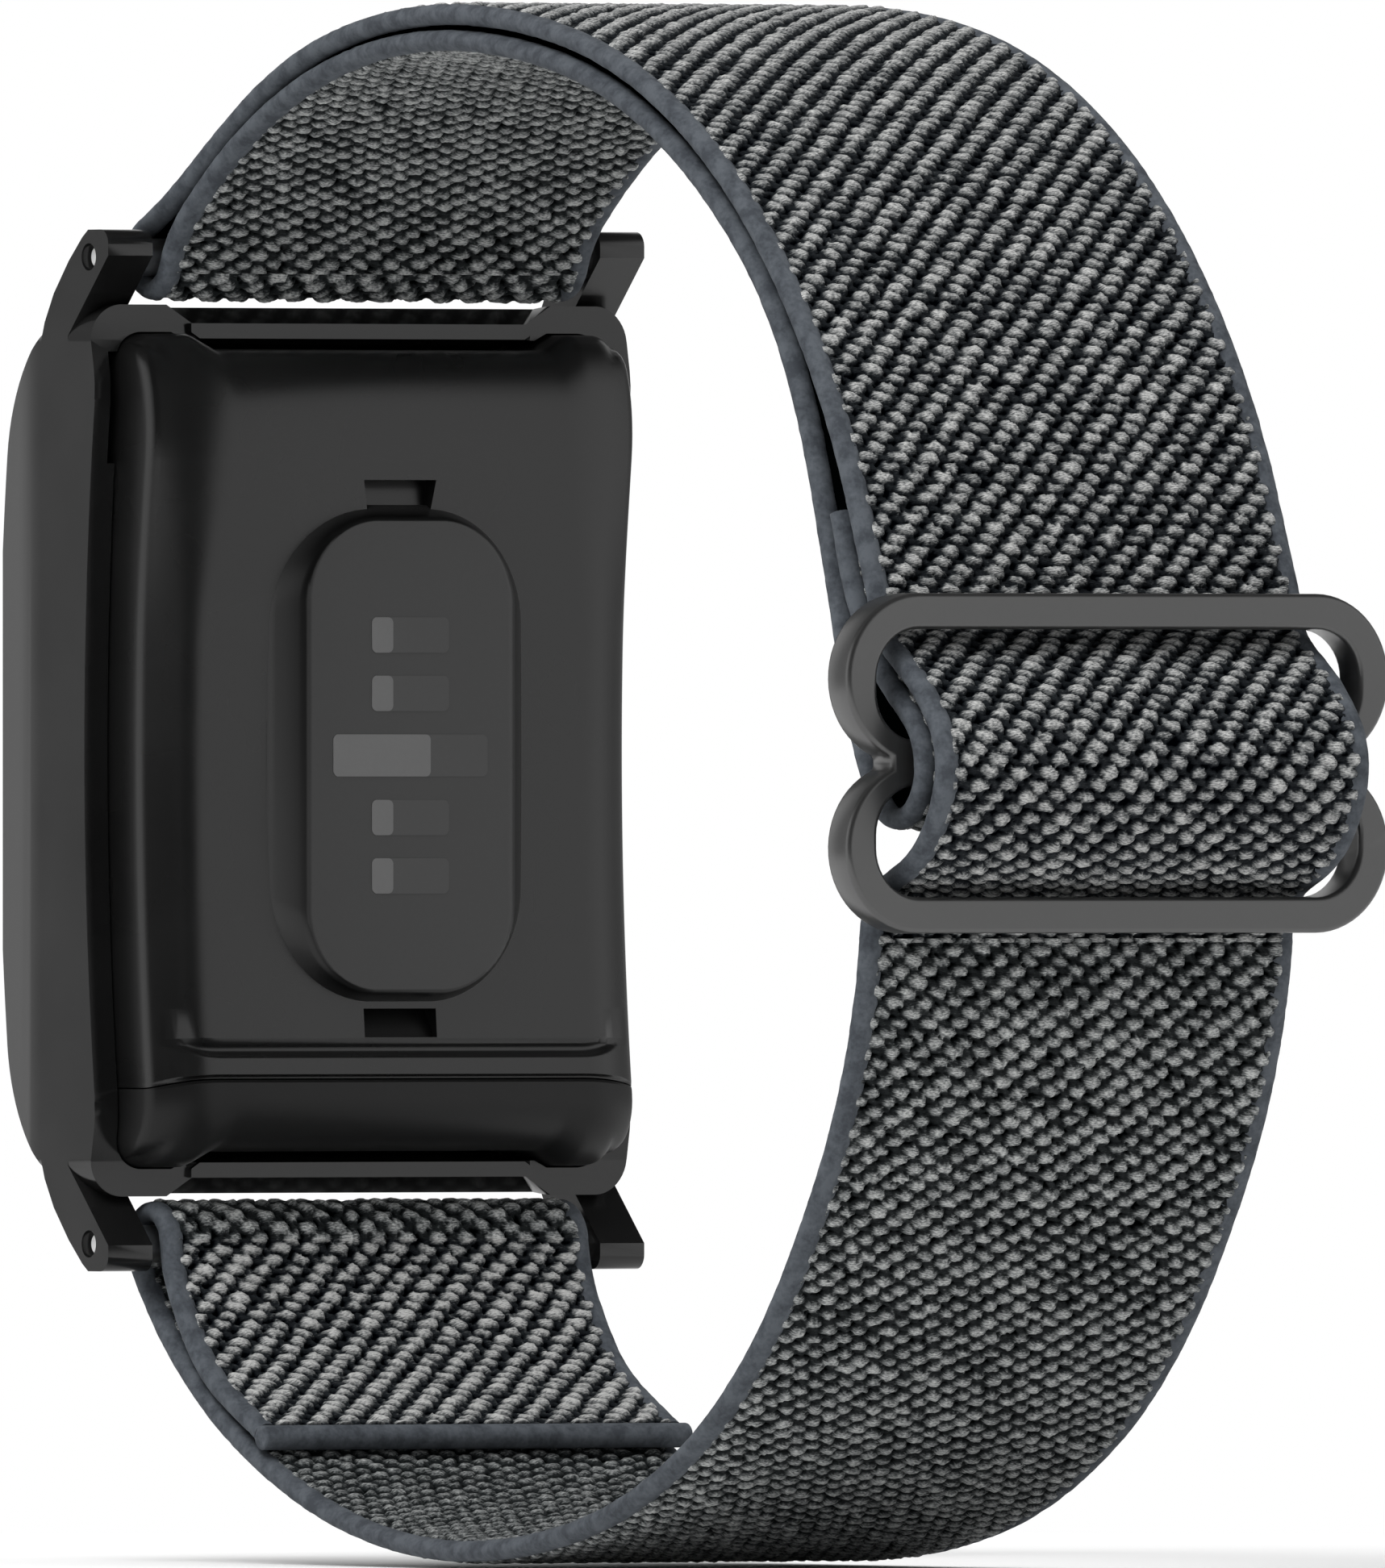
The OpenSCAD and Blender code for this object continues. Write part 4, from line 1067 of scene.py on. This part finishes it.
def set_world():
    """White where the camera or a mirroring surface sees it; a soft dome, brighter above, for its light."""
    world = bpy.data.worlds.new("studio")
    SCENE.world = world
    world.use_nodes = True
    nodes, links = world.node_tree.nodes, world.node_tree.links
    ray = nodes.new("ShaderNodeTexCoord").outputs["Generated"]
    parts = nodes.new("ShaderNodeSeparateXYZ")
    links.new(ray, parts.inputs[0])
    up = nodes.new("ShaderNodeMapRange")
    up.interpolation_type = "SMOOTHSTEP"
    up.inputs["From Min"].default_value, up.inputs["From Max"].default_value = -0.3, 0.9
    up.inputs["To Min"].default_value, up.inputs["To Max"].default_value = 0.42, 1.25
    links.new(parts.outputs["Z"], up.inputs["Value"])
    lit = nodes.new("ShaderNodeBackground")
    links.new(up.outputs["Result"], lit.inputs["Strength"])
    white = nodes["Background"]
    white.inputs["Color"].default_value = (1, 1, 1, 1)
    seen = nodes.new("ShaderNodeLightPath")
    direct = math_node(nodes, links, "MAXIMUM", seen.outputs["Is Camera Ray"], seen.outputs["Is Transmission Ray"])
    direct = math_node(nodes, links, "MAXIMUM", direct, seen.outputs["Is Glossy Ray"])
    mix = nodes.new("ShaderNodeMixShader")
    links.new(direct, mix.inputs["Fac"])
    links.new(lit.outputs[0], mix.inputs[1])
    links.new(white.outputs[0], mix.inputs[2])
    links.new(mix.outputs[0], nodes["World Output"].inputs["Surface"])


def set_panels():
    """A capped ring of pale and dark studio panels, which only the hard surfaces mirror."""
    bm = bmesh.new()
    bmesh.ops.create_cone(bm, cap_ends=True, segments=180, radius1=0.6, radius2=0.6, depth=1.6)
    ring = finished(bm, "studio_panels", smooth=False)
    material, nodes, links, _ = new_material("studio panels")
    parts = nodes.new("ShaderNodeSeparateXYZ")
    links.new(nodes.new("ShaderNodeTexCoord").outputs["Object"], parts.inputs[0])
    turn = math_node(nodes, links, "ARCTAN2", parts.outputs["Y"], parts.outputs["X"])
    turn = math_node(nodes, links, "ADD", math_node(nodes, links, "MULTIPLY", turn, 0.5 / math.pi), 0.5)
    panels = ramp(nodes, [((angle + 180) / 360, grey(level / 2)) for angle, level in PANELS])
    links.new(turn, panels.inputs["Fac"])
    rise = nodes.new("ShaderNodeMapRange")
    rise.interpolation_type = "SMOOTHSTEP"
    rise.inputs["From Min"].default_value, rise.inputs["From Max"].default_value = 0.22, 0.62
    rise.inputs["To Min"].default_value, rise.inputs["To Max"].default_value = 2, 0.15
    links.new(math_node(nodes, links, "ABSOLUTE", parts.outputs["Z"], 0), rise.inputs["Value"])
    glow = nodes.new("ShaderNodeEmission")
    links.new(rise.outputs["Result"], glow.inputs["Strength"])
    links.new(panels.outputs["Color"], glow.inputs["Color"])
    links.new(glow.outputs[0], nodes["Material Output"].inputs["Surface"])
    ring.data.materials.append(material)
    ring.visible_camera = ring.visible_diffuse = ring.visible_shadow = False
    ring.visible_transmission = ring.visible_volume_scatter = False


def set_floor():
    """A pale disc under the band that keeps a soft shadow and fades into the background."""
    bm = bmesh.new()
    bmesh.ops.create_circle(bm, cap_ends=True, segments=96, radius=0.25)
    floor = finished(bm, "floor", smooth=False)
    floor.data.transform(Matrix.Translation((0, 0, cad_bounds[0].z - 0.0002)))
    material, nodes, links, shader = new_material("floor")
    shader.inputs["Base Color"].default_value = (0.9, 0.9, 0.9, 1)
    shader.inputs["Roughness"].default_value = 0.9
    place = nodes.new("ShaderNodeTexCoord")
    reach = nodes.new("ShaderNodeVectorMath")
    reach.operation = "LENGTH"
    links.new(place.outputs["Object"], reach.inputs[0])
    edge = nodes.new("ShaderNodeMapRange")
    edge.inputs["From Min"].default_value, edge.inputs["From Max"].default_value = 0.05, 0.13
    links.new(reach.outputs["Value"], edge.inputs["Value"])
    seen = nodes.new("ShaderNodeLightPath")
    glow = nodes.new("ShaderNodeEmission")
    mix = nodes.new("ShaderNodeMixShader")
    faded = math_node(nodes, links, "MULTIPLY", edge.outputs["Result"], seen.outputs["Is Camera Ray"])
    links.new(faded, mix.inputs["Fac"])
    links.new(shader.outputs[0], mix.inputs[1])
    links.new(glow.outputs[0], mix.inputs[2])
    links.new(mix.outputs[0], nodes["Material Output"].inputs["Surface"])
    floor.data.materials.append(material)


set_camera()
set_world()
set_panels()
soft_light("key light", VIEW_AZIMUTH - 35, 52, 0.5, 0.22, 1.6)
set_floor()

dress_nodes()
dress_band()
dress_hardware()

SCENE.view_settings.view_transform = "Standard"
